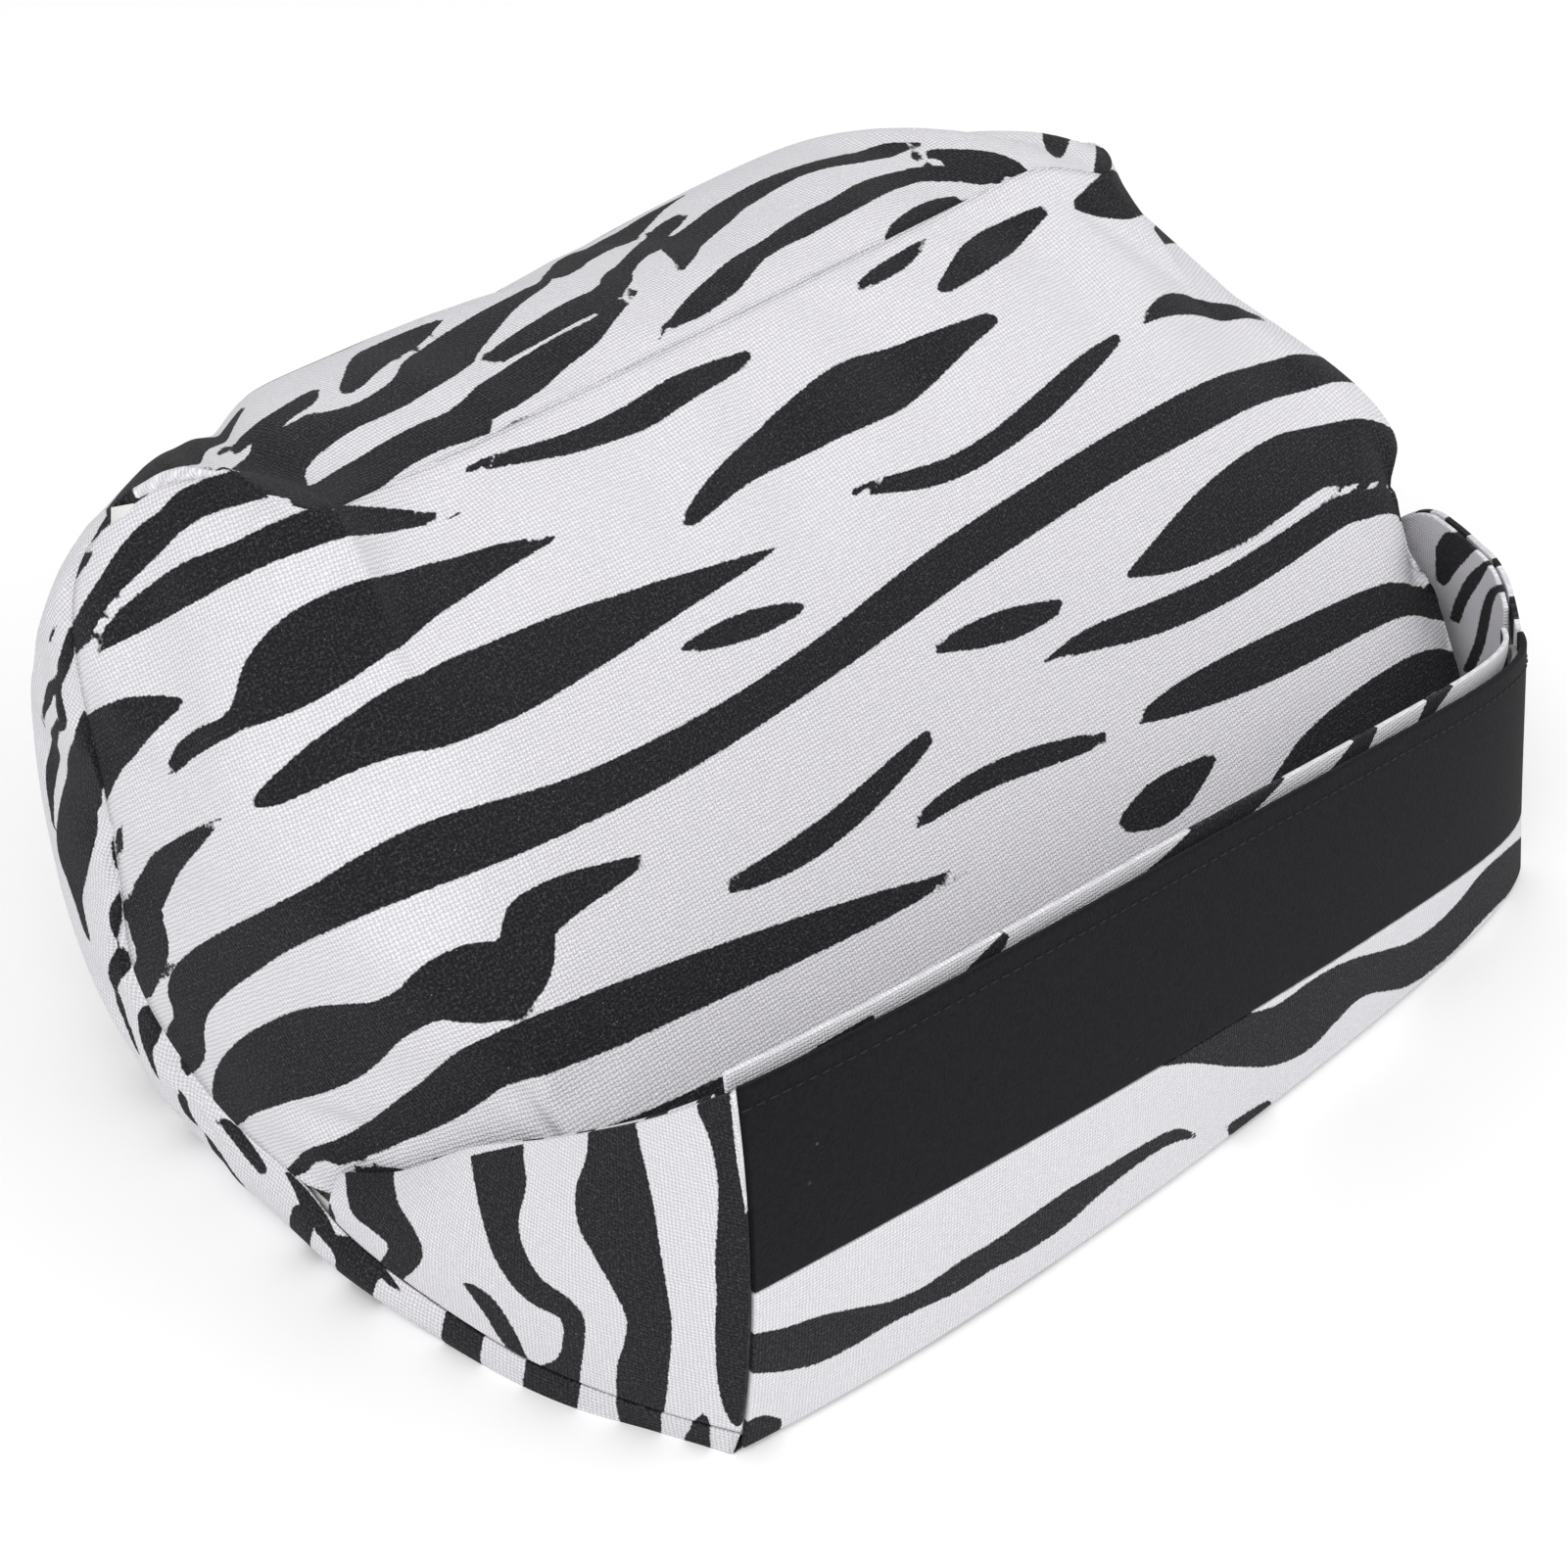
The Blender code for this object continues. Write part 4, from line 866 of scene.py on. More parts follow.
# The rest: the front panel of the bag, one piece of printed canvas. It rises from the trough, swells
# round both sides to the side seams, and dips into the crease where it is sewn to the back.
REST_STRIPES_AND_CREASE_SHADE = [
    # The first line is painted shade along the crease, drawn as black ink; the other lines are print.
    bar([(-170, 135, 136.2), (-162, 136.5, 139), (-154, 137.8, 140.5), (-146, 139.2, 141)]),
    bar([(-177, 130.3, 131), (-173, 131, 134), (-170, 132.5, 134)]),
    bar([(-184, 117.5, 122.5), (-178, 118.6, 124), (-170, 122.6, 127.2), (-162, 125, 131),
         (-155, 126.7, 133.4), (-150, 128.2, 134), (-145, 129.2, 136), (-140, 129.4, 136),
         (-132, 128.7, 135.6), (-126, 128.2, 134), (-118, 126, 132)]),
    bar([(-180, 115.4, 115.9), (-174, 115.5, 118), (-168, 115.5, 120.7), (-160, 115.5, 122.4),
         (-150, 115.7, 123.3), (-140, 116.4, 123.1), (-126, 116.5, 123.6), (-114, 115.5, 122),
         (-98, 114, 118.5), (-84, 112.5, 113.2)]),
    bar([(-198, 90, 106), (-190, 93.4, 106.6), (-182, 95.2, 106.5), (-176, 96.6, 105.9),
         (-170, 98.2, 104), (-165, 99.2, 102), (-161.5, 99.8, 100.1)]),
    bar([(-174, 89.2, 89.9), (-171, 89, 92), (-167, 89.8, 94), (-160, 90, 94.5), (-155, 90.2, 94),
         (-150, 90.4, 95.7), (-146, 90, 98.8), (-142, 89.8, 102.5), (-137, 89.8, 105.2),
         (-132, 90.3, 106.8), (-126, 91.2, 107.5), (-118, 92.8, 107.4), (-104, 95.5, 106.5),
         (-88, 97.5, 104.5), (-70, 99, 100)]),
    bar([(-156, 77, 77.6), (-153, 75.6, 78.8), (-148, 75, 80.6), (-140, 75, 83), (-130, 74.8, 84.9),
         (-122, 73.8, 86.2), (-114, 72, 86.8), (-98, 71.5, 86.5), (-78, 73, 85.5), (-56, 75, 83),
         (-36, 76.5, 80), (-22, 77.4, 77.8)]),
    bar([(-218, 50.5, 57.5), (-212, 52.5, 60), (-208, 54.3, 62), (-205.5, 56, 70.2), (-204, 60, 71.8),
         (-201, 64.3, 73.6), (-196, 67.4, 75.2), (-190, 70.1, 76.8), (-182, 72, 77.4),
         (-174, 73.7, 77.6), (-168, 75.5, 77.6), (-163, 77, 77.3)]),
    [(-194, 84.4, 0.2), (-198, 83, 1.2), (-202, 80.3, 1.2), (-205, 76, 1.1), (-208, 71.5, 1.0),
     (-212, 68.3, 0.8)],
    bar([(-221, 32.5, 41), (-216, 33.8, 44), (-211, 35.6, 45.6), (-207, 38.6, 46.8), (-204.5, 41, 52),
         (-201, 43.2, 54.6), (-195, 45, 56.2), (-187, 46.7, 57.2), (-178, 47.9, 57.9),
         (-168, 49.3, 58.3), (-158, 50, 58.7), (-148, 50.1, 59.2), (-140, 50, 60.4), (-130, 49.5, 61.2),
         (-122, 48.9, 60.6), (-114, 48.3, 59.5), (-96, 47.6, 57), (-76, 47.2, 56), (-54, 48, 56),
         (-32, 49.5, 57.5), (-8, 51.5, 60.5), (16, 53.5, 63), (42, 54.5, 64), (66, 55, 64.5),
         (90, 54, 64), (108, 53, 62.5), (120, 51.5, 60.5), (128, 49.6, 58.6), (134, 47.5, 56.6),
         (141, 45, 53.5), (152, 41, 49), (166, 37, 43), (180, 34, 36)]),
    bar([(-215, 20, 26), (-211, 20.3, 30.5), (-206, 21.3, 33.2), (-198, 21.7, 35.6), (-188, 21.4, 37.5),
         (-176, 21.1, 38.3), (-168, 21.7, 37.9), (-160, 23.7, 36.6), (-152, 26.2, 35.2),
         (-144, 27.5, 35.6), (-138, 27.3, 37.4), (-133, 24.7, 38.1), (-128, 22.5, 37.3),
         (-125, 22.3, 35), (-123.5, 22.6, 30.5), (-121, 23.3, 30.3), (-119, 25.2, 35.5),
         (-117, 28.5, 39.5), (-114, 31.5, 41.5), (-104, 33.5, 41), (-94, 34.5, 39), (-84, 36, 36.8)]),
    bar([(-203, 6.6, 8), (-198, 6.2, 9.6), (-193, 7.8, 11), (-188.5, 8, 11.1), (-186, 5.4, 10.6),
         (-180, 5, 10.6), (-172, 5.2, 12.2), (-162, 6.2, 14.9), (-152, 7.2, 17.2), (-144, 8.8, 19.8),
         (-138, 10.1, 21.1), (-130, 10.2, 21), (-122, 9.4, 20.3), (-112, 8, 19.2), (-96, 6.6, 17.2),
         (-78, 5, 14.5), (-60, 3.6, 11.5), (-42, 2.4, 8), (-26, 1.8, 4.4), (-14, 2, 2.4)]),
    bar([(-188, -1, 0), (-184, -3, 3), (-178, -5, 2.5), (-172, -7, 0.5), (-165, -9, -3.5),
         (-158, -11, -7)]),
    bar([(-168, -0.8, 0.1), (-160, -3, 0.8), (-150, -5.5, 0.6), (-140, -8.5, -0.6), (-128, -11, -2.5),
         (-112, -13, -5), (-94, -14.5, -7), (-74, -14.5, -9), (-58, -12.6, -11.8)]),
    bar([(94, 81, 82), (106, 79, 84), (118, 76, 82), (126, 72.5, 78), (134, 69.5, 74), (146, 65, 67.5)]),
    bar([(54, 36, 36.6), (68, 31.5, 40), (84, 29, 43.5), (100, 28.5, 45), (112, 28.8, 44.5),
         (118, 28.4, 43), (124, 26.2, 41), (130, 23.8, 38.6), (137, 21.4, 35), (146, 17, 30),
         (158, 10, 22), (170, 3, 13), (182, -2, 4)]),
    bar([(24, 30, 30.6), (38, 26.5, 31.5), (56, 22, 29), (76, 19.5, 26.5), (96, 18.8, 25.8),
         (112, 19, 25.8), (118, 18.8, 25.4), (124, 17.5, 23.8), (130, 16.2, 21.9), (136, 14, 20),
         (146, 9, 14.6), (156, 4, 8)]),
    bar([(36, 9, 9.6), (52, 4.5, 11), (72, 0.5, 9.8), (94, -2.2, 7.2), (108, -3.2, 5.6),
         (118, -4.2, 3.9), (124, -5.6, 1.8), (130, -8, -0.2), (137, -11.5, -3), (146, -17, -9),
         (156, -21.5, -17)]),
    bar([(62, -19.5, -18.8), (78, -21.5, -14.5), (96, -22.5, -12.6), (110, -22.6, -12.4),
         (118, -22.3, -12.8), (124, -23, -14), (130, -24.5, -16.2), (137, -27.5, -20),
         (148, -31, -26)]),
]
rest_print_and_crease_shade = more_stripes([drawn(s) for s in REST_STRIPES_AND_CREASE_SHADE], ((-200, -48), (215, 132)), 11,
                          lambda u, v: 2.0 - 0.09 * max(0.0, u - 90.0) + 0.04 * max(0.0, -u - 120.0))


CANVAS = 0.0012
SEAM_THIN = 0.0003


def finished(name, mesh, finish, body, *nodes):
    """A piece of the object: its mesh gets a finish, rides on a body and stands for its solids."""
    piece = in_scene(name, mesh)
    mesh.materials.clear()
    mesh.materials.append(finish)
    for vert in mesh.vertices:
        vert.co.z = max(vert.co.z, 0.0)
    for face in mesh.polygons:
        face.use_smooth = True
    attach(piece, body)
    if nodes:
        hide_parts(*nodes)
    return piece


def as_mesh(holder):
    """What a holder's modifiers make of it, as a plain mesh; the holder goes."""
    result = bpy.data.meshes.new_from_object(holder.evaluated_get(bpy.context.evaluated_depsgraph_get()))
    bpy.data.objects.remove(holder)
    return result


def applied(mesh, *steps):
    """The mesh with modifiers applied, each given as its type and settings."""
    holder = in_scene("holder", mesh)
    for kind, settings in steps:
        modifier = holder.modifiers.new(kind.lower(), kind)
        for key, value in settings.items():
            setattr(modifier, key, value)
    return as_mesh(holder)


def thickened(mesh):
    """Gives open cloth its thickness on the inner side, thinner where it turns in at a seam."""
    count = len(mesh.vertices)
    outer = np.array([v.co for v in mesh.vertices])
    faces = [tuple(face.vertices) for face in mesh.polygons]
    places = map_places(mesh, mesh.uv_layers["cloth"])
    depth = np.array([point.value for point in mesh.attributes["ink"].data])
    ways = {(a, b) for face in faces for a, b in zip(face, face[1:] + face[:1])}
    border = [(a, b) for a, b in sorted(ways) if (b, a) not in ways]
    far = np.full(count, CANVAS)
    far[[i for edge in border for i in edge]] = SEAM_THIN
    inner = outer - np.array([v.normal for v in mesh.vertices]) * far[:, None]
    result = bpy.data.meshes.new("cloth")
    result.from_pydata(np.concatenate([outer, inner]).tolist(), [],
                       faces + [tuple(i + count for i in face[::-1]) for face in faces]
                       + [(b, a, a + count, b + count) for a, b in border])
    cloth_map(result, np.concatenate([places, places]))
    store_ink(result, np.concatenate([depth, depth]))
    return result


def skin_panel(name, tag, flat, stripes, node):
    """A sewn panel of the bag's skin, with its print and the thickness of its canvas."""
    faces = [f for f, face_tag in zip(skin_faces, skin_tags) if face_tag == tag]
    used, local_faces = cut_out(faces)
    mesh = bpy.data.meshes.new(name)
    mesh.from_pydata(swollen[used].tolist(), [], local_faces)
    cloth_map(mesh, flat[used])
    mesh = applied(mesh, ("SUBSURF", {"levels": 1, "render_levels": 1}))
    print_on(mesh, stripes)
    mesh = thickened(mesh)
    mesh.name = name
    piece = finished(name, mesh, zebra_canvas, "bag", node)


skin_panel("rest_canvas", REST, rest_flat, rest_print_and_crease_shade, "rest_panel")

# The back: one panel of the same canvas, from the ledge's left corner round the sides and over the
# top to its right corner. It is sewn to the rest along the side seams and the crease, and leaves
# a slot for the zip low down at the rear.
BACK_STRIPES = [
    bar([(-122, 208.5, 212), (-118, 206.4, 214.6), (-114, 203.5, 214), (-111, 201.6, 213.3),
         (-107, 200.9, 212.3), (-101, 200.3, 211), (-95, 200.5, 209.5), (-89, 200.1, 208.5),
         (-83, 200, 208.3), (-78, 200, 208.7), (-73, 200.1, 209.4), (-68.5, 203, 210),
         (-66, 207.5, 210.5), (-62, 208.9, 211), (-57, 210.9, 211.2)]),
    bar([(-74, 200, 203), (-68, 199.9, 204.6), (-62, 199, 206.6), (-57, 197.5, 207.7), (-50, 195.9, 206.7),
         (-44, 195.9, 205.2), (-38, 196.3, 204.2), (-31, 197, 204), (-26, 197, 202.5),
         (-20, 195.9, 199.8), (-14, 194.4, 197), (-6, 192.6, 193.2)]),
    bar([(-130, 196, 204), (-124, 195.5, 208), (-119, 190, 206), (-114, 184, 200), (-110, 181, 196.5),
         (-105, 180.3, 195), (-100, 181.2, 194), (-94, 183.2, 193.5), (-88, 185.2, 193.5),
         (-82, 186.5, 193.8), (-76, 185.8, 193.4), (-69, 184.6, 192.8), (-63, 181.8, 192.5),
         (-57, 177.7, 190.8), (-51, 174.9, 188), (-45, 172.6, 185.4), (-38, 172.8, 183),
         (-31, 173.2, 180.2), (-24, 173, 178.2), (-18, 172, 176.8), (-16.5, 173, 176)]),
    bar([(-52, 190.6, 190.9), (-48, 189.3, 192), (-44, 188.4, 193.9), (-38, 188, 195), (-31, 187.7, 195.4),
         (-24, 187.3, 195.4), (-18, 187.1, 194.6), (-12, 186.5, 192.7), (-6, 183, 189.5), (-4, 180.7, 187),
         (2, 178.5, 183.4), (8, 176, 181.6), (12, 173.6, 179.3), (16.5, 170.2, 175.6), (21, 167.4, 173.4),
         (25, 166, 172.2), (29, 167.4, 170.8), (33, 169, 169.2)]),
    bar([(-20, 209.9, 210.2), (-15.5, 207.9, 209.3), (-10, 205.6, 208), (-4, 203.7, 208.7),
         (0, 202.6, 208.9), (5, 201.2, 208), (11, 199.9, 206.8), (17, 198.2, 204.6), (22, 196.7, 202.6),
         (29, 196.8, 201.9), (35, 195.8, 201.6), (41, 194.6, 201.6), (45, 194, 201.7), (50, 194.7, 201.6),
         (56, 194, 200.7), (61, 192.7, 199.3), (67, 191.2, 197.5), (72, 190.8, 196.9), (77, 191.5, 197.3),
         (82, 194.5, 200.2), (86, 198, 203), (89, 201.5, 206.5), (92, 205.5, 208)]),
    bar([(52, 210.3, 212), (57, 208.4, 212), (63, 206.5, 211.5), (69, 205.4, 210.6), (75, 205.2, 210),
         (79, 206.2, 209.3), (82, 207.8, 208.7)]),
    [(79, 186.9, 0.2), (83, 189.5, 1.2), (87, 193, 2.2), (90, 196.5, 3), (93, 200, 3.6), (96, 203.6, 3.4),
     (98, 205.5, 2.5)],
    bar([(2.3, 194.8, 195.1), (6, 193, 194.6), (9, 189.5, 193.3), (12, 185, 191.4), (15, 180, 188.6),
         (19, 176, 186.4), (25, 174.7, 184.8), (30, 174.5, 184), (36, 173.5, 181.7), (42, 173.5, 180.8),
         (49, 174.4, 180.7), (55, 175.8, 181.2), (61, 177.4, 182.8), (67, 178.1, 183.8), (73, 177.8, 184.2),
         (78, 178, 184.6), (82, 181.5, 185.3), (86, 186, 186.6)]),
    bar([(-12, 173, 176), (-10, 168, 175.3), (-5, 165, 173), (-1, 162, 170.5), (4, 160, 170.1),
         (9, 158, 168.9), (14, 156, 166.8), (18, 155, 165), (24, 155, 163), (32, 156, 160.5),
         (40, 157.5, 158.5)]),
    bar([(-112, 175.8, 176.4), (-108, 173, 175.8), (-104, 172.7, 178), (-100, 174.1, 180.4),
         (-94, 175.6, 181), (-88, 175.1, 180.6), (-84, 174.9, 178.2), (-80, 174.8, 175.2)]),
    bar([(-80, 181, 182), (-76, 177.5, 182.2), (-71, 174, 180.2), (-66, 170, 178.1), (-60, 166, 175.6),
         (-54, 164, 173.3), (-48, 163.5, 171), (-42, 164, 168.5), (-36, 165, 166)]),
    bar([(-136, 166, 177.5), (-130, 162, 176.8), (-125, 160, 176), (-121, 159, 175.5), (-116, 158, 173),
         (-111, 157, 170), (-107, 156.5, 169.6), (-103, 157, 168), (-97, 158.5, 165.5), (-90, 160, 163)]),
    [(-141, 163, 1), (-139, 168, 1.5), (-138, 175, 1.2)],
    upright([(129, -169, -167), (122, -173, -167.6), (116, -177, -165.6), (111, -176.5, -164),
             (107, -174.3, -163), (103, -176.5, -162), (99, -177.7, -161.6), (93, -176.8, -161.6),
             (88, -175.2, -162.8), (84, -174.2, -166), (80, -173.7, -168.4), (77, -175.5, -171.5),
             (75, -177.5, -174.5), (73.5, -178.8, -178)]),
    upright([(145, -156, -155), (140, -159.8, -156.5), (134, -160.2, -157.3), (130, -159.6, -158),
             (127, -161.5, -158.8), (124, -165, -161.8), (120, -162.9, -160.4), (115, -161, -158),
             (109, -159.2, -155), (103, -157.5, -152.4), (98, -157, -152), (94, -157.2, -153.4),
             (91, -159, -156), (89, -160.5, -158.5)]),
    upright([(132, -157.6, -157.2), (128, -157.9, -155.5), (124, -158, -154), (120, -156.4, -153.8),
             (115, -154.6, -152.8), (110, -151.9, -150.6), (106, -150, -148.9), (102.5, -149.2, -148.8)]),
    [(-152.2, 143.5, 0.2), (-152.2, 141, 0.6), (-153, 137, 0.4), (-153.2, 134, 0.1)],
    [(-181, 104, 0.4), (-183, 99, 0.9), (-184.4, 95.5, 0.4)],
    upright([(91, -185.5, -184.9), (88, -186.3, -184), (85.5, -186.6, -183.6), (82, -186.6, -185),
             (79, -186.6, -186.3)]),
    upright([(77, -187.5, -186.8), (74, -189.8, -185.8), (71, -188.7, -184.8), (68, -187.3, -184.6),
             (65.5, -186.6, -185.3), (63, -187.4, -184.6), (60.5, -187.4, -184.6), (58.5, -187.6, -186),
             (56.5, -189.6, -187.8), (54.5, -191.6, -190.4), (53, -193, -192.4)]),
    upright([(65.5, -195.6, -194.6), (62.5, -197.8, -192.2), (60, -197.8, -191.9), (57.5, -197, -193),
             (55, -197.3, -195.2), (52.5, -198.4, -197), (50.3, -199, -198.6)]),
    [(-203, 57.6, 0.4), (-204.6, 55.2, 1), (-205.6, 54, 0.3)],
    upright([(51.3, -204.6, -204.1), (49, -205.4, -203.4), (46.5, -205.6, -202.7), (44.8, -205.8, -203.4),
             (43.5, -207.2, -205.6), (42.8, -208.4, -207.6)]),
    [(-208, 39.5, 0.8), (-210, 36, 1.5), (-211.5, 32, 1.2)],
    upright([(40, -338.2, -334.8), (36, -338, -333.6), (32, -337.5, -332.2), (20, -334, -331)]),
    upright([(40.5, -328.4, -318.8), (36, -328, -318.9), (32, -327.4, -319.2), (18, -326, -320)]),
    upright([(41, -311.3, -298.6), (36, -310.6, -298.4), (32, -310, -298), (16, -307, -299)]),
    upright([(41.5, -288.8, -279), (36, -288, -278.6), (31, -287.4, -278.2), (16, -285, -279)]),
    upright([(42, -262.6, -251.4), (36, -261.6, -251.8), (30, -261, -252), (14, -259, -253)]),
    [(-268, 40.8, 0.3), (-264.5, 42, 1), (-261.5, 43.3, 1)],
    upright([(42, -244.8, -238.2), (36, -244, -237.4), (30, -243, -237), (16, -240, -237)]),
    [(-249.4, 42.5, 1.8), (-246, 44.4, 2.2), (-242.6, 45.5, 2.4), (-239.2, 47.5, 1.5), (-234, 48.6, 0.6)],
    [(-227.5, 45.2, 1.6), (-223, 46.3, 1.8), (-219, 47.6, 1.7), (-215.5, 48.2, 1), (-213.5, 47.6, 0.2)],
    [(-221, 36, 1.2), (-218, 38.5, 1.5), (-214.5, 40, 0.8)],
]
BACK_TRIES = 2200


def back_lean(u, v):
    """The rear's stripes run across, and turn upright round both sides."""
    side = 80.0 * smooth(abs(u), 95.0, 165.0)
    return side if u < 0 else 180.0 - side


back_print = more_stripes([drawn(s) for s in BACK_STRIPES], ((-335, 6), (335, 212)), 23, back_lean,
                          tries=BACK_TRIES)
skin_panel("back_canvas", BACK, back_flat, back_print, "back_panel")

# The rear strip: a narrow piece of the same canvas between the zip's lower tape and the base. Its
# print carries on from the back's.
skin_panel("rear_strip_canvas", STRIP, back_flat, back_print, "rear_strip")


# The flat pieces under the bag: the base it stands on, and the floor of the trough. Both are plain
# cuts of the printed canvas, sewn in along their edges.
def joined_copy(node, cuts=0):
    """A copy of a solid of the frame with its loose triangles joined, and cut finer if asked."""
    bm = bmesh.new()
    bm.from_mesh(bpy.data.objects[node].data)
    bmesh.ops.remove_doubles(bm, verts=bm.verts, dist=1e-5)
    bmesh.ops.recalc_face_normals(bm, faces=bm.faces)
    if cuts:
        bmesh.ops.subdivide_edges(bm, edges=bm.edges, cuts=cuts, use_grid_fill=True)
    mesh = bpy.data.meshes.new(node)
    bm.to_mesh(mesh)
    bm.free()
    return mesh


PRINT_MARGIN = 4
for node, label, seed in (("base_panel", "base_canvas", 31), ("trough_floor", "trough_floor_canvas", 32)):
    mesh = joined_copy(node)
    places = np.array([(v.co.x, v.co.y) for v in mesh.vertices])
    cloth_map(mesh, places)
    printed = (places.min(axis=0) * MM + PRINT_MARGIN, places.max(axis=0) * MM - PRINT_MARGIN)
    print_on(mesh, more_stripes([], printed, seed, lambda u, v: 8.0))
    flat_piece = finished(label, mesh, zebra_canvas, "bag", node)

# The liner: a thin plain bag inside the canvas, sewn of a front and a back half, that keeps the
# beads in. It lies close under the canvas wherever that swells or sinks.
BAG_HEART = Vector((0.0, 0.02, 0.06))
SKIN_REACH = 0.02
LINER_DEPTH = 0.0016
TONE_RANGE, GRAIN_RANGE = (0.35, 0.65), (0.3, 0.7)
FIBRE_DETAIL = 3.0
ROUGH_SPREAD = 0.06
SAMPLE_STEP = 97
skin_tree = BVHTree.FromPolygons(swollen.tolist(), skin_faces)
outward = [skin_tree.find_nearest(p)[1].dot(p - BAG_HEART) > 0 for p in map(Vector, swollen[::SAMPLE_STEP])]
skin_sign = 1 if 2 * sum(outward) > len(outward) else -1


def tucked(mesh, depth):
    """Holds a mesh at least so far under the canvas."""
    for vert in mesh.vertices:
        place, normal, _, _ = skin_tree.find_nearest(vert.co)
        normal = normal * skin_sign
        out = (vert.co - place).dot(normal)
        if out > -depth and (vert.co - place).length < SKIN_REACH:
            vert.co -= normal * (out + depth)


def noisy_finish(name, low, high, scale, rough, grain, depth, strength=0.4, sheen=0.0, specular=0.25):
    """A finish of fine fibres or grains that wanders between two colours."""
    finish, tree, shader = new_finish(name)
    own = wire(tree, "ShaderNodeTexCoord").outputs["Object"]
    tone = ramp(tree, noise(tree, own, scale, FIBRE_DETAIL), *TONE_RANGE)
    grains = noise(tree, own, grain, FIBRE_DETAIL)
    bump = wire(tree, "ShaderNodeBump", into={"Strength": strength, "Distance": depth, "Height": grains})
    feed(tree, shader, {"Base Color": mixed(tree, tone, (*low, 1.0), (*high, 1.0)), "Normal": bump.outputs[0],
                        "Roughness": ramp(tree, grains, *GRAIN_RANGE, rough - ROUGH_SPREAD,
                                          min(1.0, rough + ROUGH_SPREAD)),
                        "Specular IOR Level": specular, "Sheen Weight": sheen})
    return finish


liner_cloth = noisy_finish("liner_cloth", (0.76, 0.76, 0.74), (0.84, 0.84, 0.82), scale=160.0, rough=0.88,
                           grain=1400.0, depth=0.0002)
for node, label in (("liner_front", "liner_front_cloth"), ("liner_back", "liner_back_cloth")):
    mesh = joined_copy(node, cuts=1)
    tucked(mesh, CANVAS + LINER_DEPTH)
    liner = finished(label, mesh, liner_cloth, "bag", node)

# The filling: loose foam beads that take up the whole liner, shown as one mass. They give the bag
# its weight and its give.
BEADS_DEPTH = 0.0034
bead_grain = noisy_finish("beads", (0.84, 0.84, 0.84), (0.93, 0.93, 0.93), scale=300.0, rough=0.62,
                          grain=420.0, depth=0.0006)
mesh = joined_copy("bead_filling")
tucked(mesh, CANVAS + BEADS_DEPTH)
beads_piece = finished("filling_of_beads", mesh, bead_grain, "bag", "bead_filling")


# The ledge's front panel: a canvas wall in front of the trough, below the velour band, sewn to the
# base at its foot. Two long printed stripes climb across it to the right.
PHOTO_SIZE = 1601.0
PIXELS_PER_MM = 4.6
OUTLINE_STEPS = 6
GAP = 0.0003
BAND_HEIGHT = 0.046
ROUNDED = 0.42


def camera_pixels(places):
    """Where places on the object appear in the photograph."""
    focal = camera_data.lens / camera_data.sensor_width * PHOTO_SIZE
    way = view_way.normalized()
    right = way.cross(Vector((0.0, 0.0, 1.0))).normalized()
    up = right.cross(way)
    offset = np.asarray(places) - np.array(eye)
    depth = offset @ np.array(way)
    return np.stack([PHOTO_SIZE / 2 + focal * (offset @ np.array(right)) / depth,
                     PHOTO_SIZE / 2 - focal * (offset @ np.array(up)) / depth], axis=1)


def outlines(edges, corner, zoom):
    """Printed shapes, each given by its two edges as read off an enlarged part of the photograph."""
    shapes = []
    for one_edge, other_edge in edges:
        shape = []
        for edge in (one_edge, other_edge[::-1]):
            points = [Vector(p) for p in edge]
            count = OUTLINE_STEPS * (len(points) - 1)
            shape += [table(points, i / count) for i in range(count + 1)]
        shapes.append(np.array([(corner[0] + p[0] / zoom, corner[1] + p[1] / zoom) for p in shape]))
    return shapes


def shape_depth(places, shapes):
    """How far each place of the photograph lies inside the printed shapes, in millimetres of cloth."""
    depth = np.full(len(places), -FARTHEST)
    for shape in shapes:
        after = np.roll(shape, -1, axis=0)
        inside = np.zeros(len(places), bool)
        nearest = np.full(len(places), 1e9)
        for a, b in zip(shape, after):
            way = b - a
            share = np.clip(((places - a) @ way) / max(way @ way, 1e-9), 0.0, 1.0)
            nearest = np.minimum(nearest, np.linalg.norm(places - a - share[:, None] * way, axis=1))
            if a[1] != b[1]:
                crosses = (a[1] > places[:, 1]) != (b[1] > places[:, 1])
                reach = a[0] + (places[:, 1] - a[1]) * way[0] / way[1]
                inside ^= crosses & (places[:, 0] < reach)
        depth = np.maximum(depth, np.where(inside, nearest, -nearest) / PIXELS_PER_MM)
    return depth


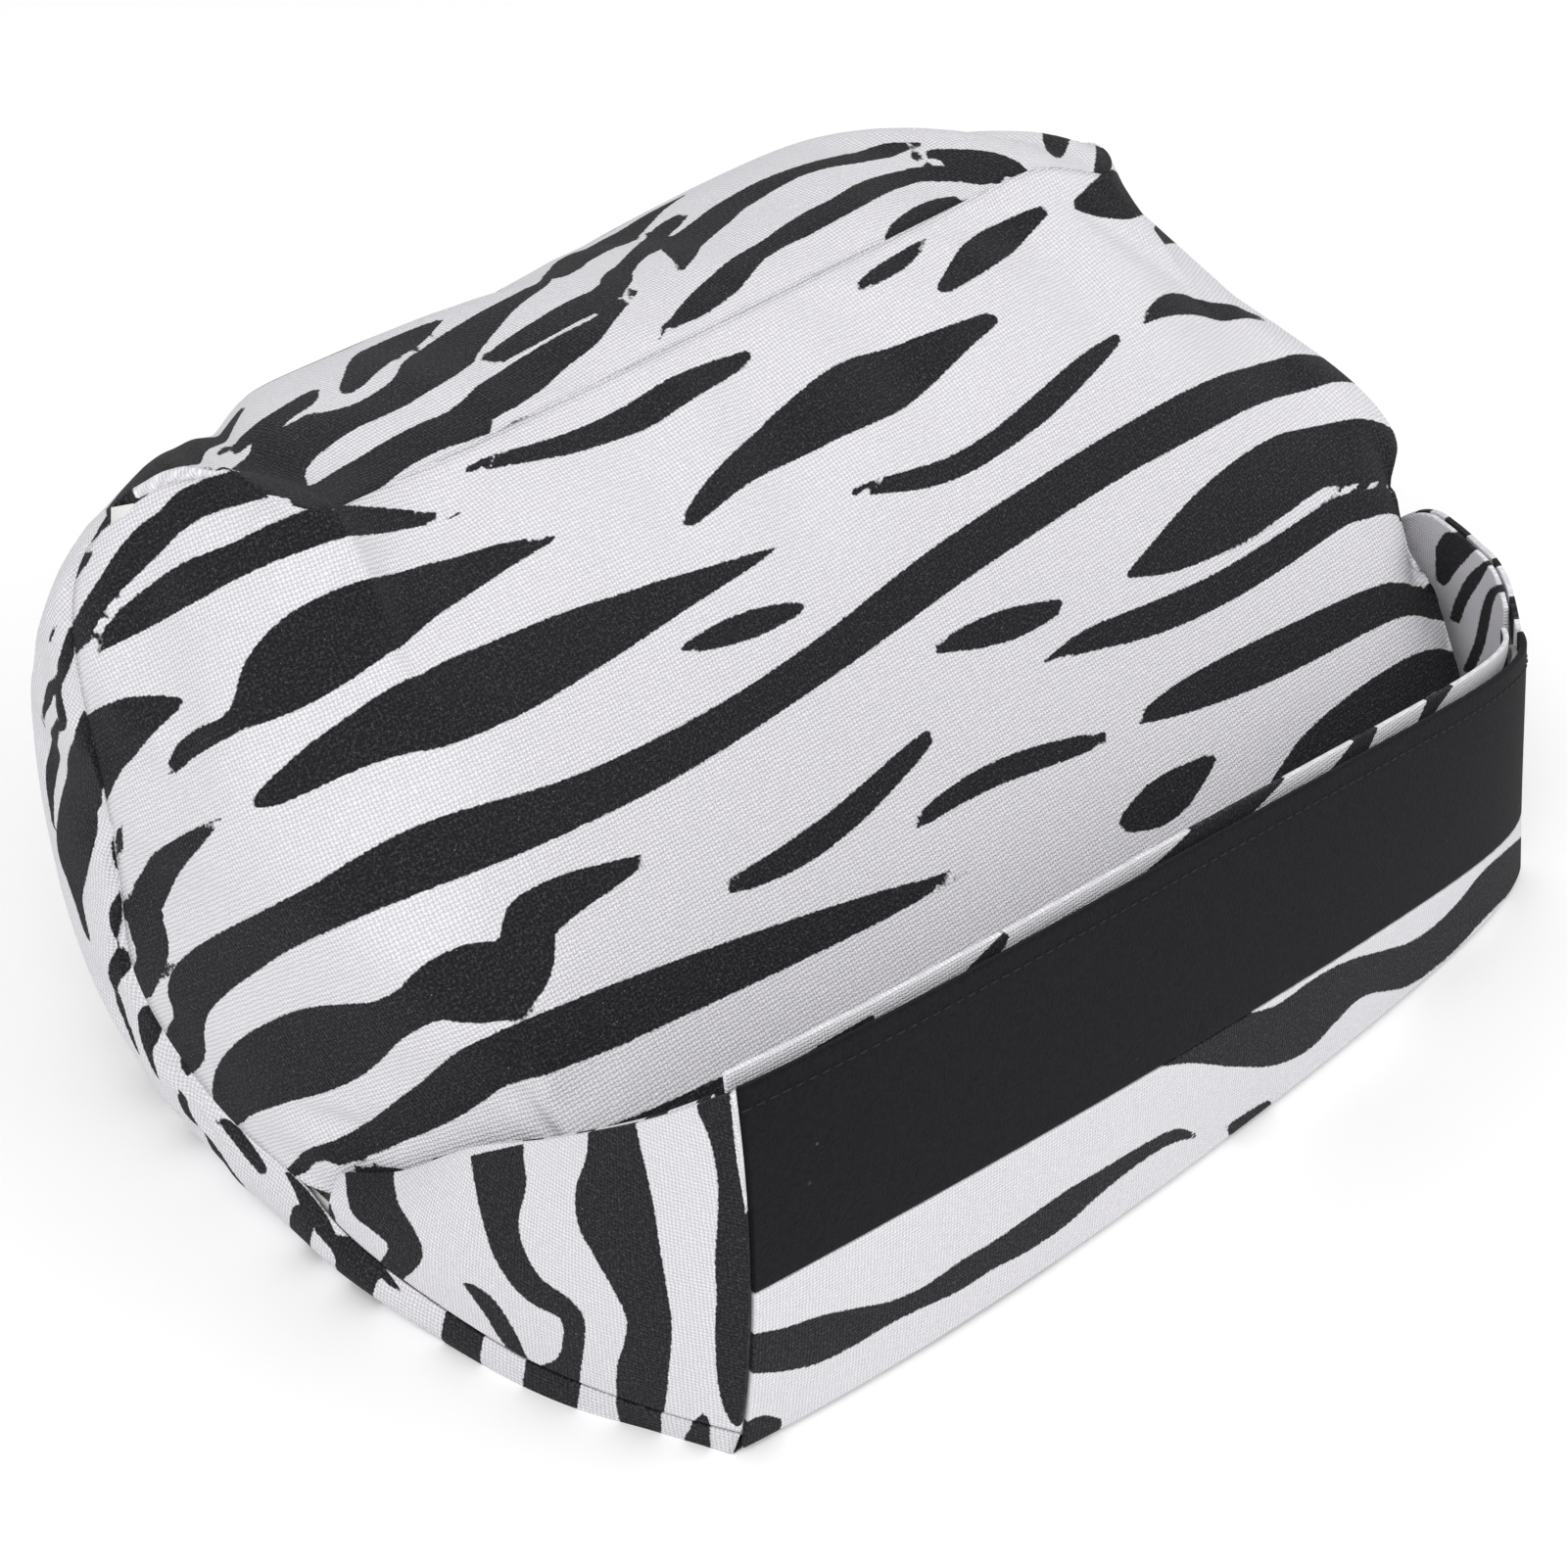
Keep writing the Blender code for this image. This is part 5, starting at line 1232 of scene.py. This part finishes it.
def ledge_sheet(name, point, near, thick, steps, finish, node, shapes=(), stripes=()):
    """A sheet of cloth behind a surface point(s, t), with its print and rounded edges."""
    across, up = steps
    place = np.array([[tuple(point(i / across, j / up)) for i in range(across + 1)] for j in range(up + 1)])
    inside = np.cross(np.gradient(place, axis=0), np.gradient(place, axis=1))
    inside /= np.linalg.norm(inside, axis=2, keepdims=True)
    along = np.zeros(place.shape[:2])
    along[:, 1:] = np.cumsum(np.linalg.norm(np.diff(place, axis=1), axis=2), axis=1)
    along -= along[:, across // 2][:, None]
    rise = np.zeros(place.shape[:2])
    rise[1:] = np.cumsum(np.linalg.norm(np.diff(place, axis=0), axis=2), axis=0)
    places = np.stack([along.ravel(), rise.ravel()], axis=1)
    outer = (place + inside * near).reshape(-1, 3)
    wide = across + 1
    faces = [(j * wide + i, j * wide + i + 1, (j + 1) * wide + i + 1, (j + 1) * wide + i)
             for j in range(up) for i in range(across)]
    mesh = bpy.data.meshes.new(name)
    mesh.from_pydata(outer.tolist(), [], faces)
    cloth_map(mesh, places)
    depth = ink_depth(places * MM, stripes)
    if len(shapes):
        depth = np.maximum(depth, shape_depth(camera_pixels(outer), shapes))
    store_ink(mesh, depth)
    mesh = applied(mesh, ("SOLIDIFY", {"thickness": thick, "offset": -1.0}),
                   ("BEVEL", {"width": thick * ROUNDED, "segments": 3, "limit_method": "ANGLE",
                              "angle_limit": math.radians(50.0)}))
    mesh.name = name
    piece = finished(name, mesh, finish, "bag", node)


def front_part(low, high):
    """A part of the front wall's surface, between two heights that may change along it."""
    def point(s, t):
        x = front_half * toward_ends(2 * s - 1)
        return front_point(x, low(x) + (high(x) - low(x)) * t)
    return point


def band_foot(x):
    return lip_height(x) - BAND_HEIGHT


FRONT_CORNER, FRONT_ZOOM = (730.0, 820.0), 1.4
FRONT_SHAPES = [
    ([(20, 765), (65, 757), (100, 750), (150, 733), (200, 722), (250, 712), (300, 690), (350, 655),
      (400, 625), (450, 590), (500, 555), (550, 525), (600, 495), (640, 473), (665, 465), (690, 473)],
     [(20, 816), (65, 815), (100, 812), (150, 800), (200, 775), (250, 745), (300, 720), (350, 697),
      (400, 665), (440, 645), (500, 605), (550, 560), (600, 520), (650, 488), (690, 478)]),
    ([(615, 380), (650, 358), (700, 330), (745, 305), (800, 290), (850, 255), (900, 227), (950, 212),
      (1000, 195), (1050, 155), (1100, 95), (1150, 50), (1162, 30)],
     [(615, 381), (680, 372), (740, 377), (800, 375), (850, 352), (890, 310), (930, 275), (990, 262),
      (1050, 218), (1100, 165), (1150, 115), (1165, 100)]),
    ([(730, 462), (760, 442), (790, 425), (796, 430)], [(735, 476), (755, 468), (775, 452), (796, 433)]),
    ([(30, 905), (45, 885), (70, 875), (95, 880)], [(30, 930), (50, 930), (75, 920), (96, 890)]),
]
front_half = LEDGE_HALF_WIDTH - CANVAS - GAP
ledge_canvas = printed_canvas("ledge_canvas", pitch=0.0008, depth=0.0003)
ledge_sheet("front_canvas", front_part(lambda x: CANVAS + GAP, lambda x: band_foot(x) - GAP), 0.0, CANVAS,
            (220, 36), ledge_canvas, "front_panel",
            outlines(FRONT_SHAPES, FRONT_CORNER, FRONT_ZOOM))

# The band: black velour sewn along the top of the front wall. Its short even pile drinks the light
# and takes a little lint.
VELOUR = 0.0015
LINT_COLOUR = (0.22, 0.21, 0.22, 1.0)
LINT_SCALE, LINT_SIZE, LINT_PALE = 140.0, (0.05, 0.075), 0.42
LINT_PATCHES = (0.58, 0.66)
velour = noisy_finish("black_velour", (0.0055, 0.0047, 0.0062), (0.0095, 0.0083, 0.0105), scale=900.0,
                      rough=0.94, grain=1900.0, depth=0.0004, strength=0.6, sheen=0.04, specular=0.12)
pile = velour.node_tree
pile_shader = pile.nodes["Principled BSDF"]
own_places = wire(pile, "ShaderNodeTexCoord").outputs["Object"]
lint = wire(pile, "ShaderNodeTexVoronoi", own_places, None, LINT_SCALE).outputs["Distance"]
lint_share = ramp(pile, noise(pile, own_places, scale=37.0, detail=2.0), *LINT_PATCHES)
lint_mask = maths(pile, "MULTIPLY", ramp(pile, lint, *LINT_SIZE, LINT_PALE, 0.0), lint_share)
pile_colour = pile_shader.inputs["Base Color"].links[0].from_socket
feed(pile, pile_shader, {"Base Color": mixed(pile, lint_mask, pile_colour, LINT_COLOUR)})
ledge_sheet("front_band_velour", front_part(band_foot, lip_height), 0.0, VELOUR, (160, 30), velour,
            "front_band")

# The stiffener: a strip of grey felt inside the front wall, between its outer cloth and its lining.
# It keeps the lip upright.
STIFFENER = 0.0015
LINING_FOLD = 0.0015
FLOOR_CLEARANCE = 0.0008
grey_felt = noisy_finish("felt", (0.38, 0.37, 0.35), (0.5, 0.49, 0.47), scale=500.0, rough=0.95,
                         grain=1200.0, depth=0.0005, strength=0.7)
stiff_near = CANVAS + 2 * GAP


def above_floor(x):
    return FLOOR_HEIGHT + FLOOR_CLEARANCE


ledge_sheet("lip_felt", front_part(above_floor, lambda x: lip_height(x) - 2 * LINING_FOLD), stiff_near,
            STIFFENER, (120, 24), grey_felt, "lip_stiffener")

# The front lining: printed canvas inside the front wall. It is folded over the lip, where it shows
# as a thin striped edge above the velour.
lining_near = stiff_near + STIFFENER + 2 * GAP
lining_print = more_stripes([], ((-125, 4), (125, 68)), 41, lambda u, v: 14.0)
ledge_sheet("front_lining_canvas", front_part(above_floor, lambda x: lip_height(x) + LINING_FOLD),
            lining_near, CANVAS, (200, 44), ledge_canvas, "front_lining",
            stripes=lining_print)

# The side walls: printed canvas outside, sewn on from the front corner back to the knot, where rest
# and back meet. Each has a shorter lining of the same canvas, which stands on the trough's floor.
WALL_END, LINING_END = 0.93, 0.72
leg_length = sum((b - a).length for a, b in zip(leg_seam, leg_seam[1:]))
lining_start = (lining_near + CANVAS + GAP) / leg_length
WALL_CORNER, WALL_ZOOM = (280.0, 1110.0), 2.0
WALL_SHAPES = [
    ([(860, 10), (865, 50), (890, 110), (905, 190), (905, 270), (900, 350), (903, 430), (900, 500),
      (905, 600), (920, 660), (940, 695)],
     [(930, 10), (935, 60), (945, 150), (960, 240), (975, 320), (993, 400), (990, 480), (975, 600),
      (955, 690)]),
    ([(635, 70), (640, 100), (635, 150), (615, 210), (620, 280), (650, 340), (690, 410), (718, 470),
      (715, 520), (700, 570), (700, 640), (712, 710)],
     [(735, 60), (740, 85), (755, 150), (775, 240), (785, 310), (800, 400), (812, 480), (808, 560),
      (800, 640), (788, 715)]),
    ([(400, 140), (405, 170), (415, 230), (430, 290), (450, 350), (490, 410), (530, 445), (580, 470),
      (590, 500), (580, 550), (545, 568), (515, 580), (515, 640)],
     [(510, 115), (510, 145), (515, 200), (500, 270), (510, 330), (545, 390), (600, 430), (630, 465),
      (635, 510), (625, 590), (618, 680)]),
    ([(385, 398), (410, 405), (450, 435), (492, 500), (520, 560)],
     [(385, 402), (405, 430), (430, 465), (465, 520), (505, 565)]),
    ([(140, 160), (145, 185), (150, 230), (165, 265), (215, 305), (232, 330), (212, 370), (240, 405)],
     [(245, 160), (245, 195), (255, 240), (280, 280), (300, 320), (302, 350), (285, 375), (245, 406)]),
    ([(25, 120), (30, 180), (60, 240), (110, 300), (135, 340)],
     [(75, 120), (80, 170), (105, 220), (125, 270), (136, 338)]),
    ([(878, 664), (840, 700), (833, 745)], [(880, 664), (890, 690), (895, 745)]),
]
LINING_CORNER, LINING_ZOOM = (1230.0, 270.0), 2.0
RIGHT_LINING_SHAPES = [
    ([(480, 575), (500, 545), (530, 548), (562, 575)], [(480, 640), (500, 652), (530, 615), (562, 580)]),
    ([(508, 725), (522, 680), (548, 632), (585, 600)], [(530, 730), (548, 684), (572, 646), (592, 610)]),
    ([(535, 830), (560, 768), (576, 698), (594, 660), (628, 648)],
     [(557, 835), (582, 775), (597, 704), (608, 672), (632, 662)]),
]


def side_part(side, s_low, s_high, on_floor):
    """A stretch of a side wall, standing on the low strip's seam or on the trough's floor."""
    def point(s, t):
        if side < 0:
            s = 1 - s
        along = s_low + (s_high - s_low) * s
        foot = side_wall_point(side, along, 0.0)
        top = side_wall_point(side, along, 1.0)
        bottom_height = floor_edge(side, along).z if on_floor else foot.z
        bottom = (bottom_height + FLOOR_CLEARANCE - foot.z) / (top.z - foot.z)
        return side_wall_point(side, along, bottom + (1 - bottom) * t)
    return point


for side, label in ((-1, "left"), (1, "right")):
    if side < 0:
        wall_shapes, wall_print = outlines(WALL_SHAPES, WALL_CORNER, WALL_ZOOM), []
        inner_shapes, inner_print = (), more_stripes([], ((-45, 2), (45, 60)), 52, lambda u, v: 95.0,
                                                     longest=70.0)
    else:
        wall_shapes, wall_print = (), more_stripes([], ((-58, 2), (58, 70)), 51, lambda u, v: 100.0,
                                                   longest=80.0)
        inner_shapes, inner_print = outlines(RIGHT_LINING_SHAPES, LINING_CORNER, LINING_ZOOM), []
    ledge_sheet("ledge_%s_canvas" % label, side_part(side, 0.0, WALL_END, False), 0.0, CANVAS, (100, 60),
                ledge_canvas, "ledge_%s_wall" % label, wall_shapes, wall_print)
    ledge_sheet("ledge_%s_lining_canvas" % label, side_part(side, lining_start, LINING_END, True),
                CANVAS + 2 * GAP, CANVAS, (80, 50), ledge_canvas,
                "ledge_%s_lining" % label, inner_shapes, inner_print)

# The zip's tapes: two ribbons of woven black polyester behind the slot at the rear, sewn to the back
# above it and to the rear strip below it.
tape_weave = noisy_finish("zip_tape", (0.015, 0.015, 0.017), (0.03, 0.03, 0.033), scale=1200.0, rough=0.86,
                          grain=2200.0, depth=0.0002)
for node, label in (("zip_tape_upper", "upper_tape"), ("zip_tape_lower", "lower_tape")):
    mesh = joined_copy(node)
    tape = finished(label, mesh, tape_weave, "bag", node)
    low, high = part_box(node)

# The zip's hardware: moulded nylon teeth along both tapes, and cast metal for the stops at their
# ends, the slider that runs on the teeth and the pull that hangs on it.
nylon = noisy_finish("zip_plastic", (0.025, 0.025, 0.027), (0.035, 0.035, 0.038), scale=250.0, rough=0.42,
                     grain=900.0, depth=0.00005, strength=0.2)
cast_metal = noisy_finish("zip_metal", (0.5, 0.5, 0.52), (0.6, 0.6, 0.62), scale=260.0, rough=0.32,
                          grain=1600.0, depth=0.00004, strength=0.25)
cast_metal.node_tree.nodes["Principled BSDF"].inputs["Metallic"].default_value = 1.0
for finish, nodes in ((nylon, ("zip_coil_upper", "zip_coil_lower")),
                      (cast_metal, ("zip_top_stop_upper", "zip_top_stop_lower", "zip_bottom_stop",
                                    "zip_slider", "zip_pull"))):
    for node in nodes:
        bpy.data.objects[node].material_slots[0].material = finish

# The zip's stitching: two rows of even machine stitches in white thread, one through the back and
# one through the rear strip, which hold the tapes.
stitching, row_in, row_out = node_group(
    "row_of_stitches", [("Geometry", "NodeSocketGeometry", None), ("Pitch", "NodeSocketFloat", None),
                        ("Length", "NodeSocketFloat", None), ("Thickness", "NodeSocketFloat", None),
                        ("Thread", "NodeSocketMaterial", None)],
    [("Geometry", "NodeSocketGeometry")], "GeometryNodeTree")
row = row_in.outputs
path = wire(stitching, "GeometryNodeMeshToCurve", row["Geometry"]).outputs[0]
evenly = wire(stitching, "GeometryNodeResampleCurve", mode="LENGTH",
              into={"Curve": path, "Length": row["Pitch"]})
bead = wire(stitching, "GeometryNodeMeshUVSphere", into={"Segments": 8, "Rings": 6, "Radius": 0.5})
form = wire(stitching, "ShaderNodeCombineXYZ", row["Thickness"], row["Thickness"], row["Length"])
stitch = wire(stitching, "GeometryNodeTransform",
              into={"Geometry": bead.outputs["Mesh"], "Scale": form.outputs[0]})
tangent = wire(stitching, "GeometryNodeInputTangent").outputs[0]
turn = wire(stitching, "FunctionNodeAlignEulerToVector", axis="Z", into={"Vector": tangent})
placed = wire(stitching, "GeometryNodeInstanceOnPoints",
              into={"Points": evenly.outputs[0], "Instance": stitch.outputs[0], "Rotation": turn.outputs[0]})
real = wire(stitching, "GeometryNodeRealizeInstances", placed.outputs[0])
threaded = wire(stitching, "GeometryNodeSetMaterial",
                into={"Geometry": real.outputs[0], "Material": row["Thread"]})
feed(stitching, row_out, {"Geometry": threaded.outputs[0]})
THREAD_THICK = 0.0005
ROW_SHARE = 0.3


def stitch_rows(name, rows, thread, pitch, length):
    """Rows of stitches along lines of points, as a piece of its own."""
    mesh = bpy.data.meshes.new(name)
    points, edges = [], []
    for row in rows:
        edges += [(len(points) + i, len(points) + i + 1) for i in range(len(row) - 1)]
        points += [tuple(p) for p in row]
    mesh.from_pydata(points, edges, [])
    holder = in_scene("thread_line", mesh)
    modifier = holder.modifiers.new("stitches", "NODES")
    modifier.node_group = stitching
    given = {"Pitch": pitch, "Length": length, "Thickness": THREAD_THICK, "Thread": thread}
    for item in stitching.interface.items_tree:
        if item.in_out == "INPUT" and item.name in given:
            modifier[item.identifier] = given[item.name]
    holder.update_tag()
    finished(name, as_mesh(holder), thread, "bag")


def on_cloth(column, low, high):
    """A point of the swollen cloth a little way from one line of a column towards another."""
    ends = [Vector(swollen[skin_index(column[row])]) for row in (low, high)]
    return ends[0].lerp(ends[1], ROW_SHARE) + Vector((0.0, THREAD_THICK / 2, 0.0))


white_thread = noisy_finish("white_thread", (0.72, 0.71, 0.74), (0.84, 0.83, 0.86), scale=2500.0, rough=0.75,
                            grain=5000.0, depth=0.0001)
zip_columns = back_grid[first_window + 1:last_window - 1]
stitch_rows("zip_stitches", [[on_cloth(c, SLOT_ROW, SLOT_ROW + 1) for c in zip_columns],
                             [on_cloth(c, STRIP_ROW, STRIP_ROW - 1) for c in zip_columns]],
            white_thread, pitch=0.0028, length=0.0021)

# The band's hem: one row of even black stitches just below the lip, through velour and lining. It
# holds the folded edge down.
HEM_DEPTH = 0.0045
HEM_STEPS = 80
HEM_START, HEM_SHARE = 0.01, 0.98
HEM_PROUD = Vector((0.0, 0.0001, 0.0))
black_thread = noisy_finish("black_thread", (0.008, 0.008, 0.009), (0.02, 0.019, 0.021), scale=2500.0,
                            rough=0.7, grain=5000.0, depth=0.0001)
hem_line = front_part(lambda x: lip_height(x) - HEM_DEPTH, lambda x: lip_height(x) - HEM_DEPTH)
stitch_rows("band_hem_stitches", [[hem_line(HEM_START + HEM_SHARE * i / HEM_STEPS, 0.0) - HEM_PROUD
                                   for i in range(HEM_STEPS + 1)]],
            black_thread, pitch=0.003, length=0.0023)
